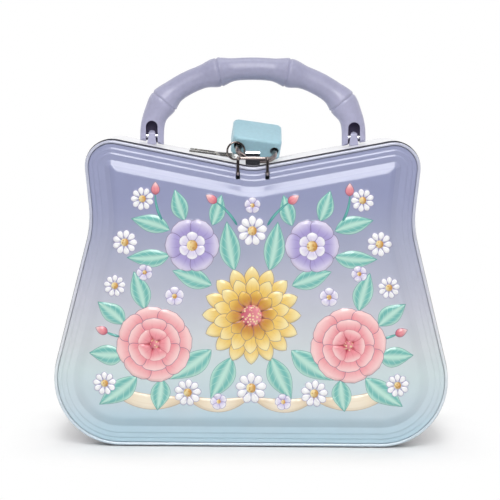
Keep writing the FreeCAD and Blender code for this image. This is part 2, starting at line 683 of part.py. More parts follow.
def padlock_block(wall, edge, corner):
    """Rounded block of the padlock's case, moved in by a wall."""
    half_width, half_thick = PADLOCK_WIDTH / 2 - wall, PADLOCK_THICKNESS / 2 - wall
    near, far = SHACKLE_REACH + wall, SHACKLE_REACH + PADLOCK_LENGTH - wall
    block = box(-half_width, half_width, near, far, -half_thick, half_thick)
    block = block.makeFillet(corner, edges_along(block, Z_AXIS))
    rims = [line for line in block.Edges if abs(abs(line.CenterOfMass.z) - half_thick) < LEVEL]
    return block.makeFillet(edge, rims)


def shackle_bore(side, radius, depth):
    x = side * SHACKLE_HALF_SPAN
    return rod(radius, V(x, SHACKLE_REACH - SHACKLE_RADIUS, 0), V(x, SHACKLE_REACH + depth, 0))


def bolt(grow, slide):
    """Bolt that shoots into the short leg, with a yoke round the cylinder's crank; moved out and grown."""
    prong_start = CYLINDER_INNER_END - CYLINDER_CRANK_LENGTH - BOLT_PRONG_GAP
    prong_end = CYLINDER_INNER_END - BOLT_PRONG_GAP
    left = -CYLINDER_CRANK_RADIUS - BOLT_CLEARANCE
    outer = SHACKLE_HALF_SPAN - SHACKLE_RADIUS - SHACKLE_CLEARANCE - BOLT_CLEARANCE
    half, thick = BOLT_WIDTH / 2, BOLT_THICKNESS / 2
    spans = [(BOLT_INNER_END, outer, BOLT_ALONG - half, BOLT_ALONG + half),
             (left - BOLT_PRONG, BOLT_INNER_END + BOLT_PRONG, BOLT_ALONG, prong_start),
             (left - BOLT_PRONG, left, prong_start, prong_end),
             (BOLT_INNER_END, BOLT_INNER_END + BOLT_PRONG, prong_start, prong_end)]
    blocks = [box(x0 + slide - grow, x1 + slide + grow, y0 - grow, y1 + grow, -thick - grow, thick + grow)
              for x0, x1, y0, y1 in spans]
    return blocks[0].multiFuse(blocks[1:]).removeSplitter()


def cylinder_space(grow):
    """Plug of the lock from its inner end to the outside of the case, grown by a clearance."""
    far = SHACKLE_REACH + PADLOCK_LENGTH
    return rod(CYLINDER_RADIUS + grow, V(0, CYLINDER_INNER_END - grow, 0), V(0, far, 0))


def crank_pin():
    """Crank on the cylinder's inner end that drives the bolt."""
    start = V(0, CYLINDER_INNER_END, CYLINDER_CRANK_OFFSET)
    return rod(CYLINDER_CRANK_RADIUS, start, start - Y_AXIS * CYLINDER_CRANK_LENGTH)


def padlock_shackle():
    """Steel bow with a long leg that stays in the case and a short leg with a notch for the bolt."""
    long_end = V(-SHACKLE_HALF_SPAN, SHACKLE_REACH + SHACKLE_LONG_LEG, 0)
    short_end = V(SHACKLE_HALF_SPAN, SHACKLE_REACH + SHACKLE_SHORT_LEG, 0)
    left, right = V(-SHACKLE_HALF_SPAN, SHACKLE_HALF_SPAN, 0), V(SHACKLE_HALF_SPAN, SHACKLE_HALF_SPAN, 0)
    path = Part.Wire([Part.LineSegment(long_end, left).toShape(), Part.Arc(left, V(0, 0, 0), right).toShape(),
                      Part.LineSegment(right, short_end).toShape()])
    circle = Part.Wire(Part.makeCircle(SHACKLE_RADIUS, long_end, Y_AXIS))
    bow = path.makePipeShell([circle], True, False)
    tip = [edge for edge in bow.Edges if edge.Closed and abs(edge.CenterOfMass.y - long_end.y) < LEVEL]
    bow = bow.makeFillet(SHACKLE_TIP_RADIUS, tip)
    half = BOLT_WIDTH / 2 + 2 * BOLT_CLEARANCE
    inside = SHACKLE_HALF_SPAN - SHACKLE_RADIUS
    notch = box(inside - NOTCH_DEPTH, inside + NOTCH_DEPTH + BOLT_CLEARANCE,
                BOLT_ALONG - half, BOLT_ALONG + half, -SHACKLE_RADIUS, SHACKLE_RADIUS)
    return in_padlock(bow.cut(notch))


def padlock_cover():
    """Rounded plastic case over the core, open at the shackle holes and the keyhole."""
    shell = padlock_block(0.0, PADLOCK_EDGE, PADLOCK_CORNER)
    shell = shell.cut(padlock_block(COVER_WALL, PADLOCK_EDGE / 2, PADLOCK_CORNER - COVER_WALL))
    for side in (-1, 1):
        shell = shell.cut(shackle_bore(side, SHACKLE_RADIUS + SHACKLE_HOLE_RELIEF, PADLOCK_CORNER))
    return in_padlock(shell.cut(cylinder_space(CYLINDER_CLEARANCE)))


def padlock_core():
    """Metal block of the lock with its bores."""
    core = padlock_block(COVER_WALL + COVER_CLEARANCE, PADLOCK_EDGE / 2, PADLOCK_CORNER - COVER_WALL)
    bore = SHACKLE_RADIUS + SHACKLE_CLEARANCE
    core = core.cut(shackle_bore(-1, bore, SHACKLE_LONG_LEG + SHACKLE_RADIUS))
    core = core.cut(shackle_bore(1, bore, SHACKLE_SHORT_LEG + SHACKLE_RADIUS / 2))
    core = core.cut(cylinder_space(CYLINDER_CLEARANCE))
    core = core.cut(bolt(BOLT_CLEARANCE, 0.0)).cut(bolt(BOLT_CLEARANCE, BOLT_TRAVEL))
    crank_reach = CYLINDER_CRANK_OFFSET + CYLINDER_CRANK_RADIUS + BOLT_CLEARANCE
    crank_end = CYLINDER_INNER_END - CYLINDER_CRANK_LENGTH - 2 * BOLT_CLEARANCE
    return in_padlock(core.cut(rod(crank_reach, V(0, crank_end, 0), V(0, CYLINDER_INNER_END, 0))))


def padlock_cylinder():
    """Plug that the key turns, with its keyway and the crank on its inner end."""
    wide, tall, deep = KEYWAY
    far = SHACKLE_REACH + PADLOCK_LENGTH
    plug = cylinder_space(0.0)
    plug = plug.cut(box(-wide / 2, wide / 2, far - deep, far + TIN, -tall / 2, tall / 2))
    return in_padlock(plug.fuse(crank_pin()).removeSplitter())


def padlock_bolt():
    return in_padlock(bolt(0.0, 0.0))


def ring_axes():
    """Middle of the key ring, the way it hangs and the direction across that, in the ring's plane."""
    place = in_padlock(Part.Vertex(V(0, 0, 0))).Placement
    leg = place.multVec(V(-SHACKLE_HALF_SPAN, RING_ALONG, 0))
    along = place.Rotation.multVec(Y_AXIS)
    hang = unit(180 + RING_HANG)
    normal = (along - hang * along.dot(hang)).normalize()
    return leg + hang * RING_SLACK, hang, normal.cross(hang)


def key_ring():
    """Wire ring that hangs from the shackle's long leg."""
    centre, hang, across = ring_axes()
    return Part.makeTorus(RING_RADIUS, RING_WIRE_RADIUS, centre, hang.cross(across))


def key_blank():
    """Small flat key in its own axes: the hole at the origin, the blade along +X."""
    hole = rod(KEY_HOLE_RADIUS, V(0, 0, -KEY_THICKNESS), V(0, 0, 2 * KEY_THICKNESS))
    bow = rod(KEY_BOW_RADIUS, V(KEY_BOW_OFFSET, 0, 0), V(KEY_BOW_OFFSET, 0, KEY_THICKNESS))
    half = KEY_BLADE_WIDTH / 2
    start = KEY_BOW_OFFSET + math.sqrt(KEY_BOW_RADIUS ** 2 - half ** 2)
    key = bow.fuse(box(start - half, start + KEY_BLADE_LENGTH, -half, half, 0, KEY_THICKNESS))
    for at, depth in KEY_BITS:
        near, far = start + at - KEY_BIT_WIDTH / 2, start + at + KEY_BIT_WIDTH / 2
        key = key.cut(box(near, far, half - depth, 2 * half, 0, KEY_THICKNESS))
    return key.cut(hole).removeSplitter()


def key_hole(angle):
    """Point of the key ring's middle line at an angle from its lowest point, towards the left."""
    centre, hang, across = ring_axes()
    turn = math.radians(angle)
    return centre + (hang * math.cos(turn) + across * math.sin(turn)) * RING_RADIUS


def key(angle, tilt, fan):
    """Key threaded on the ring, its blade down to the left slope."""
    lie = FreeCAD.Rotation(Y_AXIS, TOP_SLOPE - tilt).multiply(FreeCAD.Rotation(Z_AXIS, 180 + fan))
    moved = key_blank()
    moved.Placement = FreeCAD.Placement(key_hole(angle) - lie.multVec(Z_AXIS) * (KEY_THICKNESS / 2), lie)
    return moved


PARTS = {
    "body_band": body_band,
    "back_panel": back_panel,
    "inner_collar": inner_collar,
    "lid_band": lid_band,
    "lid_panel": lid_panel,
    "body_hinge_leaf": lambda: hinge_leaf(0, 1, TIN, BODY_LEAF_DEPTH),
    "lid_hinge_leaf": lambda: hinge_leaf(1, -1, LID_BAND_INSET + TIN, LID_LEAF_DEPTH),
    "hinge_pin": hinge_pin,
    "catch_staple": catch_staple,
    "hasp_bail": hasp_bail,
    "handle": handle,
    "handle_pins": handle_pins,
    "handle_lug_left": lambda: handle_lug(-1),
    "handle_lug_right": lambda: handle_lug(1),
    "lug_plates": lug_plates,
    "padlock_shackle": padlock_shackle,
    "padlock_cover": padlock_cover,
    "padlock_core": padlock_core,
    "padlock_cylinder": padlock_cylinder,
    "padlock_bolt": padlock_bolt,
    "key_ring": key_ring,
    "key_front": lambda: key(*KEY_FRONT),
    "key_back": lambda: key(*KEY_BACK),
}

os.makedirs("parts", exist_ok=True)
for name, make in PARTS.items():
    shape = make()
    print(name, len(shape.Solids), round(shape.Volume, 2), shape.isValid())
    shape.exportStep("parts/" + name + ".step")
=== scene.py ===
"""Looks of a handbag-shaped tin money box, built round its CAD frame."""
import math
from collections import namedtuple

import bmesh
import bpy
import numpy as np
from mathutils import Matrix, Vector
from mathutils.geometry import delaunay_2d_cdt
from mathutils.kdtree import KDTree


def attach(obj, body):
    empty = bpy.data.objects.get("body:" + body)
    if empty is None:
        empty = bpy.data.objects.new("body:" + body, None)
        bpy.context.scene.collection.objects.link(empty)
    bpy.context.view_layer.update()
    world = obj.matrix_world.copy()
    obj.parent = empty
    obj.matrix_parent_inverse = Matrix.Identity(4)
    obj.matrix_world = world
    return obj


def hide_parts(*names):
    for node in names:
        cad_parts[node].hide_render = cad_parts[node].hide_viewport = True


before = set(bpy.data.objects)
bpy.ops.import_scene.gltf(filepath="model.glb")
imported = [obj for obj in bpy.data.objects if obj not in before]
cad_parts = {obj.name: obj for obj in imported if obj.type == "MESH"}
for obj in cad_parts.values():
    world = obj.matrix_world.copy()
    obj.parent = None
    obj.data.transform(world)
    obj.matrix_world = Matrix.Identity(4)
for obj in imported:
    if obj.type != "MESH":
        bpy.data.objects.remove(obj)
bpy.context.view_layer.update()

# Lengths are in millimetres until a mesh is made. X runs to the right, Y to the back, Z up.
MM = 0.001

# Front outline of the box
HALF_WIDTH = 80.0
BASE_CORNER_RADIUS = 27.5
FLARE_ANGLE = 14.0
WAIST_HEIGHT = 90.0
WAIST_RADIUS = 40.0
SHOULDER_ANGLE = 6.1
TOP_CORNER_RADIUS = 11.0
TOP_SLOPE = 10.9
DIP_HEIGHT = 113.5
DIP_RADIUS = 15.0
OUTLINE_STEP = 1.3
FEWEST_LINE_STEPS, FEWEST_CORNER_STEPS = 2, 8

# Depth of the box and its sheet
FRONT_BEAD_Y = -30.0
BACK_BEAD_Y = 30.0
PARTING_Y = -25.0
TIN = 0.5
BAND_INSET = 0.6
PARTING_GAP = 0.3

# Rolled bead of the lid: inset, depth and radius; where its roll starts and ends
BEAD = (1.1, -30.25, 0.62)
BEAD_TURNS = (143.5, 397.0)
BEAD_POINTS = 24
BEAD_TO_BAND = 0.75

# Rolled seam of the back, in the same order
BACK_BEAD = (1.0, 30.0, 0.98)
BACK_BEAD_POINTS = 20

# Pressed border with two ridges and a shoulder, then the field: inset, rise in front of the bead
BORDER = (
    (1.95, 0.3), (2.5, 0.3), (3.2, 0.3), (3.38, 0.31), (3.52, 0.37), (3.65, 0.44), (3.78, 0.51), (3.92, 0.57),
    (4.1, 0.58), (4.6, 0.58), (5.25, 0.58), (5.43, 0.59), (5.57, 0.65), (5.7, 0.72), (5.83, 0.79), (5.97, 0.85),
    (6.15, 0.86), (7.2, 0.86), (8.1, 0.86), (8.35, 0.88), (8.6, 0.97), (9.0, 1.18), (9.5, 1.45), (10.3, 1.88))
BORDER_STEP = 0.16
FIELD = ((10.9, 2.17), (11.4, 2.38), (11.8, 2.53), (12.3, 2.65), (12.9, 2.7))
FIELD_SHOULDER = 4
FIELD_STEPS = 80
FIELD_DOME = 0.12
DOME_RUN = 30.0
FIELD_INSET, FIELD_RISE = FIELD[-1]

# Edge of a panel tucked behind its bead
PANEL_EDGE_INSET = 1.2
PANEL_TUCK = 0.75
TUCK_STEP = 0.1

# Slots of the bail's hooks: half spacing, half width, low end, high end; depths
BAIL_SLOT = (5.9, 0.85, 108.5, 111.6)
SLOT_DEPTHS = (-33.0, -27.0)

# Room for the hinge in the lid's rim, between two corners
HINGE_ROOM = ((-62.0, -27.1, -1.0), (62.0, -22.9, 1.7))

# Angles in degrees from which an edge is shaded sharp
SHARP, ROLLED_SHARP = 40.0, 50.0


def srgb(red, green, blue):
    """Linear colour of an 8-bit screen colour."""
    def linear(level):
        level /= 255
        return level / 12.92 if level <= 0.04045 else ((level + 0.055) / 1.055) ** 2.4
    return (linear(red), linear(green), linear(blue), 1.0)


def ease(share):
    """Smooth step from 0 to 1."""
    share = np.clip(share, 0, 1)
    return share * share * (3 - 2 * share)


# Outline


def unit(angle):
    return np.array((math.cos(math.radians(angle)), math.sin(math.radians(angle))))


def meet(line_a, line_b, shift):
    """Point where two outline lines cross after both move out by shift."""
    (normal_a, offset_a), (normal_b, offset_b) = line_a, line_b
    return np.linalg.solve((normal_a, normal_b), (offset_a + shift, offset_b + shift))


def outline_lines():
    """Sides of the outline, anticlockwise from the base, as outward normal and distance."""
    flip = np.array((-1, 1))
    flare_normal = unit(FLARE_ANGLE)
    corner = np.array((HALF_WIDTH - BASE_CORNER_RADIUS, BASE_CORNER_RADIUS))
    flare = (flare_normal, flare_normal @ corner + BASE_CORNER_RADIUS)
    waist = np.array(((flare[1] - flare_normal[1] * WAIST_HEIGHT) / flare_normal[0], WAIST_HEIGHT))
    side_normal = unit(-SHOULDER_ANGLE)
    side = (side_normal, side_normal @ waist)
    top_normal = unit(90 + TOP_SLOPE)
    top = (top_normal, top_normal[1] * DIP_HEIGHT)
    right = [flare, side, top]
    left = [(normal * flip, offset) for normal, offset in reversed(right)]
    return [(np.array((0.0, -1.0)), 0.0)] + right + left


LINES = outline_lines()
# Corner after each line: radius, and +1 where it bulges out or -1 where it curves in
SIDE_CORNERS = ((BASE_CORNER_RADIUS, 1), (WAIST_RADIUS, -1), (TOP_CORNER_RADIUS, 1))
CORNERS = SIDE_CORNERS + ((DIP_RADIUS, -1),) + SIDE_CORNERS[::-1]


def run(start, end, length):
    """Points of a straight run without its end; length sets their number."""
    steps = max(FEWEST_LINE_STEPS, round(length / OUTLINE_STEP))
    return [start + (end - start) * step / steps for step in range(steps)]


def outline(inset):
    """Points round the outline moved in by inset, always the same number."""
    points = []
    here, here_full = np.array((0.0, inset)), np.zeros(2)
    for index, (radius, bulge) in enumerate(CORNERS):
        line, next_line = LINES[index], LINES[(index + 1) % len(LINES)]
        normal, after = line[0], next_line[0]
        centre = meet(line, next_line, -bulge * radius)
        reach = bulge * (radius - bulge * inset)
        first_full = centre + normal * bulge * radius
        points += run(here, centre + normal * reach, np.linalg.norm(first_full - here_full))
        turn = math.acos(np.clip(normal @ after, -1, 1))
        steps = max(FEWEST_CORNER_STEPS, round(turn * radius / OUTLINE_STEP))
        for step in range(steps):
            share = step / steps
            blend = (normal * math.sin((1 - share) * turn) + after * math.sin(share * turn)) / math.sin(turn)
            points.append(centre + blend * reach)
        here, here_full = centre + after * reach, centre + after * bulge * radius
    return np.array(points + run(here, np.array((0.0, inset)), np.linalg.norm(here_full)))


def edge_distance(loop, points):
    """Distance from points to a closed loop."""
    step = np.roll(loop, -1, 0) - loop
    length2 = np.maximum((step ** 2).sum(1), 1e-9)
    along = np.clip(((points[:, None, :] - loop) * step).sum(2) / length2, 0, 1)
    gap = points[:, None, :] - (loop + along[..., None] * step)
    return np.sqrt((gap ** 2).sum(2)).min(1)


def inset_of(points):
    """Distance of points in from the outline, a chunk at a time."""
    ring, chunk = outline(0.0), 2000
    return np.concatenate([edge_distance(ring, points[first:first + chunk])
                           for first in range(0, len(points), chunk)])


def lengths_along(points):
    """Distance of each point along its path."""
    return np.concatenate(((0.0,), np.cumsum(np.linalg.norm(np.diff(points, axis=0), axis=1))))


def spline(points, count):
    """Natural cubic spline through points, sampled evenly by chord length."""
    knots = lengths_along(points)
    gaps = np.diff(knots)
    size = len(points)
    matrix = np.eye(size)
    right = np.zeros_like(points)
    for row in range(1, size - 1):
        before, after = gaps[row - 1], gaps[row]
        matrix[row, row - 1:row + 2] = before, 2 * (before + after), after
        right[row] = 6 * ((points[row + 1] - points[row]) / after - (points[row] - points[row - 1]) / before)
    bend = np.linalg.solve(matrix, right)
    at = np.linspace(0, knots[-1], count)
    span = np.clip(np.searchsorted(knots, at, side="right") - 1, 0, size - 2)
    gap = gaps[span][:, None]
    late = (at - knots[span])[:, None]
    early = gap - late
    return (bend[span] * early ** 3 / (6 * gap) + bend[span + 1] * late ** 3 / (6 * gap)
            + (points[span] / gap - bend[span] * gap / 6) * early
            + (points[span + 1] / gap - bend[span + 1] * gap / 6) * late)


# Meshes


def grid_faces(rows, columns, wrap_rows):
    """Quads of a grid of points stored row by row, closed across its columns."""
    faces = []
    for row in range(rows if wrap_rows else rows - 1):
        first, below = row * columns, (row + 1) % rows * columns
        for column in range(columns):
            after = (column + 1) % columns
            faces.append((first + column, first + after, below + after, below + column))
    return faces


def prism_faces(size):
    """Faces of a solid between two loops of equal size."""
    faces = [tuple(range(size)), tuple(range(size, 2 * size))[::-1]]
    return faces + [(i, size + i, size + (i + 1) % size, (i + 1) % size) for i in range(size)]


def make_piece(name, points, faces, materials, sharp=SHARP, outward=True):
    """Mesh object from points in millimetres; outward turns its faces out."""
    mesh = bpy.data.meshes.new(name)
    mesh.from_pydata((np.asarray(points, float) * MM).tolist(), [], faces)
    for material in materials:
        mesh.materials.append(material)
    if outward:
        work = bmesh.new()
        work.from_mesh(mesh)
        bmesh.ops.recalc_face_normals(work, faces=work.faces)
        work.to_mesh(mesh)
        work.free()
    mesh.polygons.foreach_set("use_smooth", [True] * len(mesh.polygons))
    mesh.set_sharp_from_angle(angle=math.radians(sharp))
    piece = bpy.data.objects.new(name, mesh)
    bpy.context.scene.collection.objects.link(piece)
    return piece


def cut(piece, *cutters):
    """Take cutters out of a piece and drop them."""
    for cutter in cutters:
        change = piece.modifiers.new("cut", "BOOLEAN")
        change.object = cutter
        change.operation = "DIFFERENCE"
        change.solver = "EXACT"
    bpy.context.view_layer.update()
    result = bpy.data.meshes.new_from_object(piece.evaluated_get(bpy.context.evaluated_depsgraph_get()))
    piece.modifiers.clear()
    piece.data = result
    for cutter in cutters:
        bpy.data.objects.remove(cutter)
    result.set_sharp_from_angle(angle=math.radians(SHARP))
    return piece


def block(name, low, high, material):
    """Box between two corners."""
    points = [(x, y, z) for x in (low[0], high[0]) for y in (low[1], high[1]) for z in (low[2], high[2])]
    faces = [(0, 1, 3, 2), (4, 6, 7, 5), (0, 4, 5, 1), (2, 3, 7, 6), (0, 2, 6, 4), (1, 5, 7, 3)]
    return make_piece(name, points, faces, [material])


def at_depth(flat, y):
    """Points of a panel set at one depth, or each at its own."""
    return np.column_stack((flat[:, 0], np.broadcast_to(y, len(flat)), flat[:, 1]))


def sweep(profile):
    """Points and quads of a closed profile carried round the outline."""
    rings = [at_depth(outline(inset), y) for inset, y in profile]
    return np.vstack(rings), grid_faces(len(rings), len(rings[0]), True)


# Materials


def fill(tree, node, inputs):
    """Link each input to its source, or set its value."""
    for key, value in dict(inputs).items():
        if isinstance(value, bpy.types.NodeSocket):
            tree.links.new(value, node.inputs[key])
        else:
            node.inputs[key].default_value = value


def add(tree, kind, inputs=(), **settings):
    """New shader node with its settings and inputs."""
    node = tree.nodes.new("ShaderNode" + kind)
    for key, value in settings.items():
        setattr(node, key, value)
    fill(tree, node, inputs)
    return node


def ramp(tree, source, stops, interpolation="EASE"):
    """Colour ramp through stops of position and colour."""
    node = add(tree, "ValToRGB", {"Fac": source})
    node.color_ramp.interpolation = interpolation
    elements = node.color_ramp.elements
    while len(elements) < len(stops):
        elements.new(1.0)
    for element, (position, colour) in zip(elements, stops):
        element.position = position
        element.color = colour
    return node.outputs["Color"]


def spread(tree, value, low, high, out_low=0.0, out_high=1.0):
    """Value carried from one range to another, smoothly and clamped."""
    inputs = {"Value": value, "From Min": low, "From Max": high, "To Min": out_low, "To Max": out_high}
    return add(tree, "MapRange", inputs, interpolation_type="SMOOTHSTEP").outputs["Result"]


def mix(tree, share, first, second, blend="MIX"):
    """Mix of two colours; its sockets go by number because names repeat."""
    return add(tree, "Mix", {0: share, 6: first, 7: second}, data_type="RGBA", blend_type=blend).outputs[2]


def math_node(tree, operation, first, second=0.0):
    return add(tree, "Math", {0: first, 1: second}, operation=operation).outputs["Value"]


def place(tree):
    """Place on the piece in metres."""
    return add(tree, "TexCoord").outputs["Object"]


def place_along(tree, axis):
    return add(tree, "SeparateXYZ", {"Vector": place(tree)}).outputs[axis]


EVEN = (1.0, 1.0, 1.0)
# Range that most of a noise lies in
NOISE_RANGE = (0.3, 0.7)


def noise(tree, scale, detail=3.0, stretch=EVEN):
    """Noise over the object; scale counts per metre."""
    mapping = add(tree, "Mapping", {"Vector": place(tree), "Scale": stretch}).outputs["Vector"]
    return add(tree, "TexNoise", {"Vector": mapping, "Scale": scale, "Detail": detail}).outputs["Fac"]


def uneven(tree, scale, low, high):
    """Noise between two values."""
    return spread(tree, noise(tree, scale), *NOISE_RANGE, low, high)


def new_material(name):
    """New material with its node tree and principled shader."""
    material = bpy.data.materials.new(name)
    material.use_nodes = True
    tree = material.node_tree
    tree.nodes.clear()
    shader = add(tree, "BsdfPrincipled")
    add(tree, "OutputMaterial", {"Surface": shader.outputs["BSDF"]})
    return material, tree, shader


def relief(tree, shader, height, distance):
    """Bump from a height between 0 and 1, as deep as distance in metres."""
    bump = add(tree, "Bump", {"Height": height, "Distance": distance, "Strength": 1.0})
    fill(tree, shader, {"Normal": bump.outputs["Normal"]})


def mottled(tree, colour, strength, scale):
    """Colour with a faint uneven tone."""
    tone = uneven(tree, scale, 1 - strength, 1 + strength)
    shade = add(tree, "CombineColor", {"Red": tone, "Green": tone, "Blue": tone}).outputs["Color"]
    return mix(tree, 1.0, colour, shade, "MULTIPLY")


# Strength and scale of mottling; scale and range of gloss; plain inputs; scale, detail, depth of grain
Look = namedtuple("Look", "mottle gloss plain grain")
PRINT = Look((0.012, 160), (420, -0.015, 0.05),
             {"Coat Weight": 0.65, "Coat Roughness": 0.06, "Specular IOR Level": 0.35}, (500, 2, 0.0000012))
PLASTIC = Look((0.03, 700), (900, -0.05, 0.06),
               {"Coat Weight": 0.15, "Coat Roughness": 0.25}, (1800.0, 2, 0.00003))
BODY = Look((0.012, 60), (350, 0.0, 0.03), {"Coat Weight": 0.3, "Coat Roughness": 0.1}, (150, 2, 0.000001))
PRINT_ROUGHNESS = 0.3


def coated(tree, shader, look, colour, roughness):
    """Colour, uneven gloss, coat and grain of a surface."""
    scale, low, high = look.gloss
    gloss = uneven(tree, scale, roughness + low, roughness + high)
    fill(tree, shader, {"Base Color": colour, "Roughness": gloss, **look.plain})
    scale, detail, depth = look.grain
    relief(tree, shader, noise(tree, scale, detail), depth)


def lacquer(name, print_of, colours=(), roughness=PRINT_ROUGHNESS):
    """Tin with a print and varnish."""
    material, tree, shader = new_material(name)
    coated(tree, shader, PRINT, mottled(tree, print_of(tree, *colours), *PRINT.mottle), roughness)
    return material


# Ground of the print from the foot to the top height; drift of its tones, in metres
SKY = ((0.000, srgb(178, 208, 222)), (0.050, srgb(194, 211, 220)), (0.150, srgb(204, 219, 221)),
       (0.270, srgb(206, 212, 216)), (0.460, srgb(196, 198, 211)), (0.720, srgb(170, 174, 197)),
       (0.900, srgb(152, 157, 190)), (1.000, srgb(149, 154, 188)))
TOP_HEIGHT = 0.125
SKY_DRIFT = 0.016
SKY_DRIFT_NOISE = (28, 4)

# Tints of the ground: share and colour
BORDER_TINT = (0.06, srgb(232, 232, 242))
BEAD_TINT = (0.45, srgb(236, 238, 244))
BEAD_ROUGHNESS = 0.2


def sky(tree):
    """Ground of the print: pale blue at the foot, through pearl, to lilac at the top."""
    wander = math_node(tree, "SUBTRACT", noise(tree, *SKY_DRIFT_NOISE), 0.5)
    drift = math_node(tree, "MULTIPLY", wander, SKY_DRIFT)
    share = spread(tree, math_node(tree, "ADD", place_along(tree, "Z"), drift), 0.0, TOP_HEIGHT)
    return ramp(tree, share, SKY, "LINEAR")


def tinted_sky(tree, share, tint):
    """Ground of the print a little paler."""
    return mix(tree, share, sky(tree), tint)


def art_values(tree):
    """Stored places in a motif: along it, across it, and from its edge in millimetres."""
    stored = add(tree, "Attribute", attribute_name="art").outputs["Vector"]
    node = add(tree, "SeparateXYZ", {"Vector": stored})
    return node.outputs["X"], node.outputs["Y"], node.outputs["Z"]


# Lines of the prints: where one starts, where it is full, none, its strength; edges in millimetres
PETAL_MIDDLE = 0.45
PETAL_VEINS = 9.0
PETAL_VEIN = (0.75, 1.0, 0.0, 0.35)
PETAL_FADE = (0.9, 0.2)
PETAL_EDGE = (0.3, 0.12, 0.0, 0.75)
LEAF_DARK_AT = 0.55
LEAF_SLANT = (38.0, 9.0)
LEAF_VEIN = (0.8, 1.0, 0.0, 0.45)
LEAF_MIDRIB = (0.14, 0.05)
LEAF_EDGE = (0.3, 0.12, 0.0, 0.7)
EYE_DOTS = 900.0
EYE_DOT = (0.42, 0.3, 0.0, 0.8)


def petal_print(tree, root, middle, tip, edge, veins=PETAL_VEINS):
    """Petal shaded from root to tip, with fine veins and a thin edge line."""
    along, across, rim = art_values(tree)
    tone = ramp(tree, along, ((0.0, root), (PETAL_MIDDLE, middle), (1.0, tip)))
    wave = math_node(tree, "SINE", math_node(tree, "MULTIPLY", across, veins))
    vein = math_node(tree, "MULTIPLY", spread(tree, wave, *PETAL_VEIN), spread(tree, along, *PETAL_FADE))
    return mix(tree, spread(tree, rim, *PETAL_EDGE), mix(tree, vein, tone, root), edge)


def leaf_print(tree, dark, light, edge):
    """Leaf with a light midrib, slanting side veins and a thin edge line."""
    along, across, rim = art_values(tree)
    width = math_node(tree, "ABSOLUTE", across)
    tone = ramp(tree, width, ((0.0, light), (LEAF_DARK_AT, dark), (1.0, light)))
    slant = math_node(tree, "SUBTRACT", math_node(tree, "MULTIPLY", along, LEAF_SLANT[0]),
                      math_node(tree, "MULTIPLY", width, LEAF_SLANT[1]))
    tone = mix(tree, spread(tree, math_node(tree, "SINE", slant), *LEAF_VEIN), tone, light)
    tone = mix(tree, spread(tree, width, *LEAF_MIDRIB), tone, light)
    return mix(tree, spread(tree, rim, *LEAF_EDGE), tone, edge)


def eye_print(tree, middle, rim_colour, dots):
    """Eye of a flower: a shaded disc with dots."""
    tone = ramp(tree, art_values(tree)[0], ((0.0, middle), (1.0, rim_colour)))
    cells = add(tree, "TexVoronoi", {"Vector": place(tree), "Scale": EYE_DOTS}).outputs["Distance"]
    return mix(tree, spread(tree, cells, *EYE_DOT), tone, dots)


# Motifs

MOTIF_STEPS = 15
POINTED = 0.02
NARROWEST = 0.05
SWELL = (0.12, 0.76)
CREASE_WIDTH = 0.16


class Motif:
    """Shape of the design along its own axis; form is its level, crown and crease in millimetres."""

    def __init__(self, material, centre, angle, start, length, half_width, form, bend=0.0, sag=0.0):
        self.material = material
        self.centre = np.array(centre, float)
        (cos, sin), self.start, self.length = unit(angle), start, length
        self.axes, self.back = np.array(((cos, sin), (-sin, cos))), np.array(((cos, -sin), (sin, cos)))
        self.half_width = half_width
        self.level, self.crown, self.crease = form
        self.bend, self.sag = bend, sag
        share = np.linspace(0, 1, MOTIF_STEPS)
        width, middle = half_width(share), self.middle(share)
        upper = np.column_stack((start + length * share, middle + width))
        lower = np.column_stack((start + length * share, middle - width))
        last = -2 if width[-1] < POINTED else -1
        self.loop = np.vstack((upper, lower[last:0:-1])) @ self.axes + self.centre

    def middle(self, share):
        """Sideways place of the middle line along the motif."""
        return self.length * (self.bend * share ** 2 + 4 * self.sag * share * (1 - share))

    def inside_values(self, points):
        """Places of points along and across the motif."""
        local = (points - self.centre) @ self.back
        along = np.clip((local[:, 0] - self.start) / self.length, 0, 1)
        width = np.maximum(self.half_width(along), NARROWEST)
        return along, np.clip((local[:, 1] - self.middle(along)) / width, -1, 1)

    def height(self, along, across):
        swell = (1 - across ** 2) * np.sin(np.pi * (SWELL[0] + SWELL[1] * along))
        return self.level + self.crown * swell - self.crease * np.exp(-(across / CREASE_WIDTH) ** 2)


def blade(width, fullness, point):
    """Half width of a petal or leaf; fullness above 1 sets it wide near the tip."""
    def half_width(share):
        return width / 2 * np.sin(np.pi * np.clip(share, 0, 1) ** fullness) ** point
    return half_width


def disc(radius):
    """Half width of a circle along its diameter."""
    def half_width(share):
        return radius * np.sqrt(np.maximum(1 - (2 * np.clip(share, 0, 1) - 1) ** 2, 0))
    return half_width


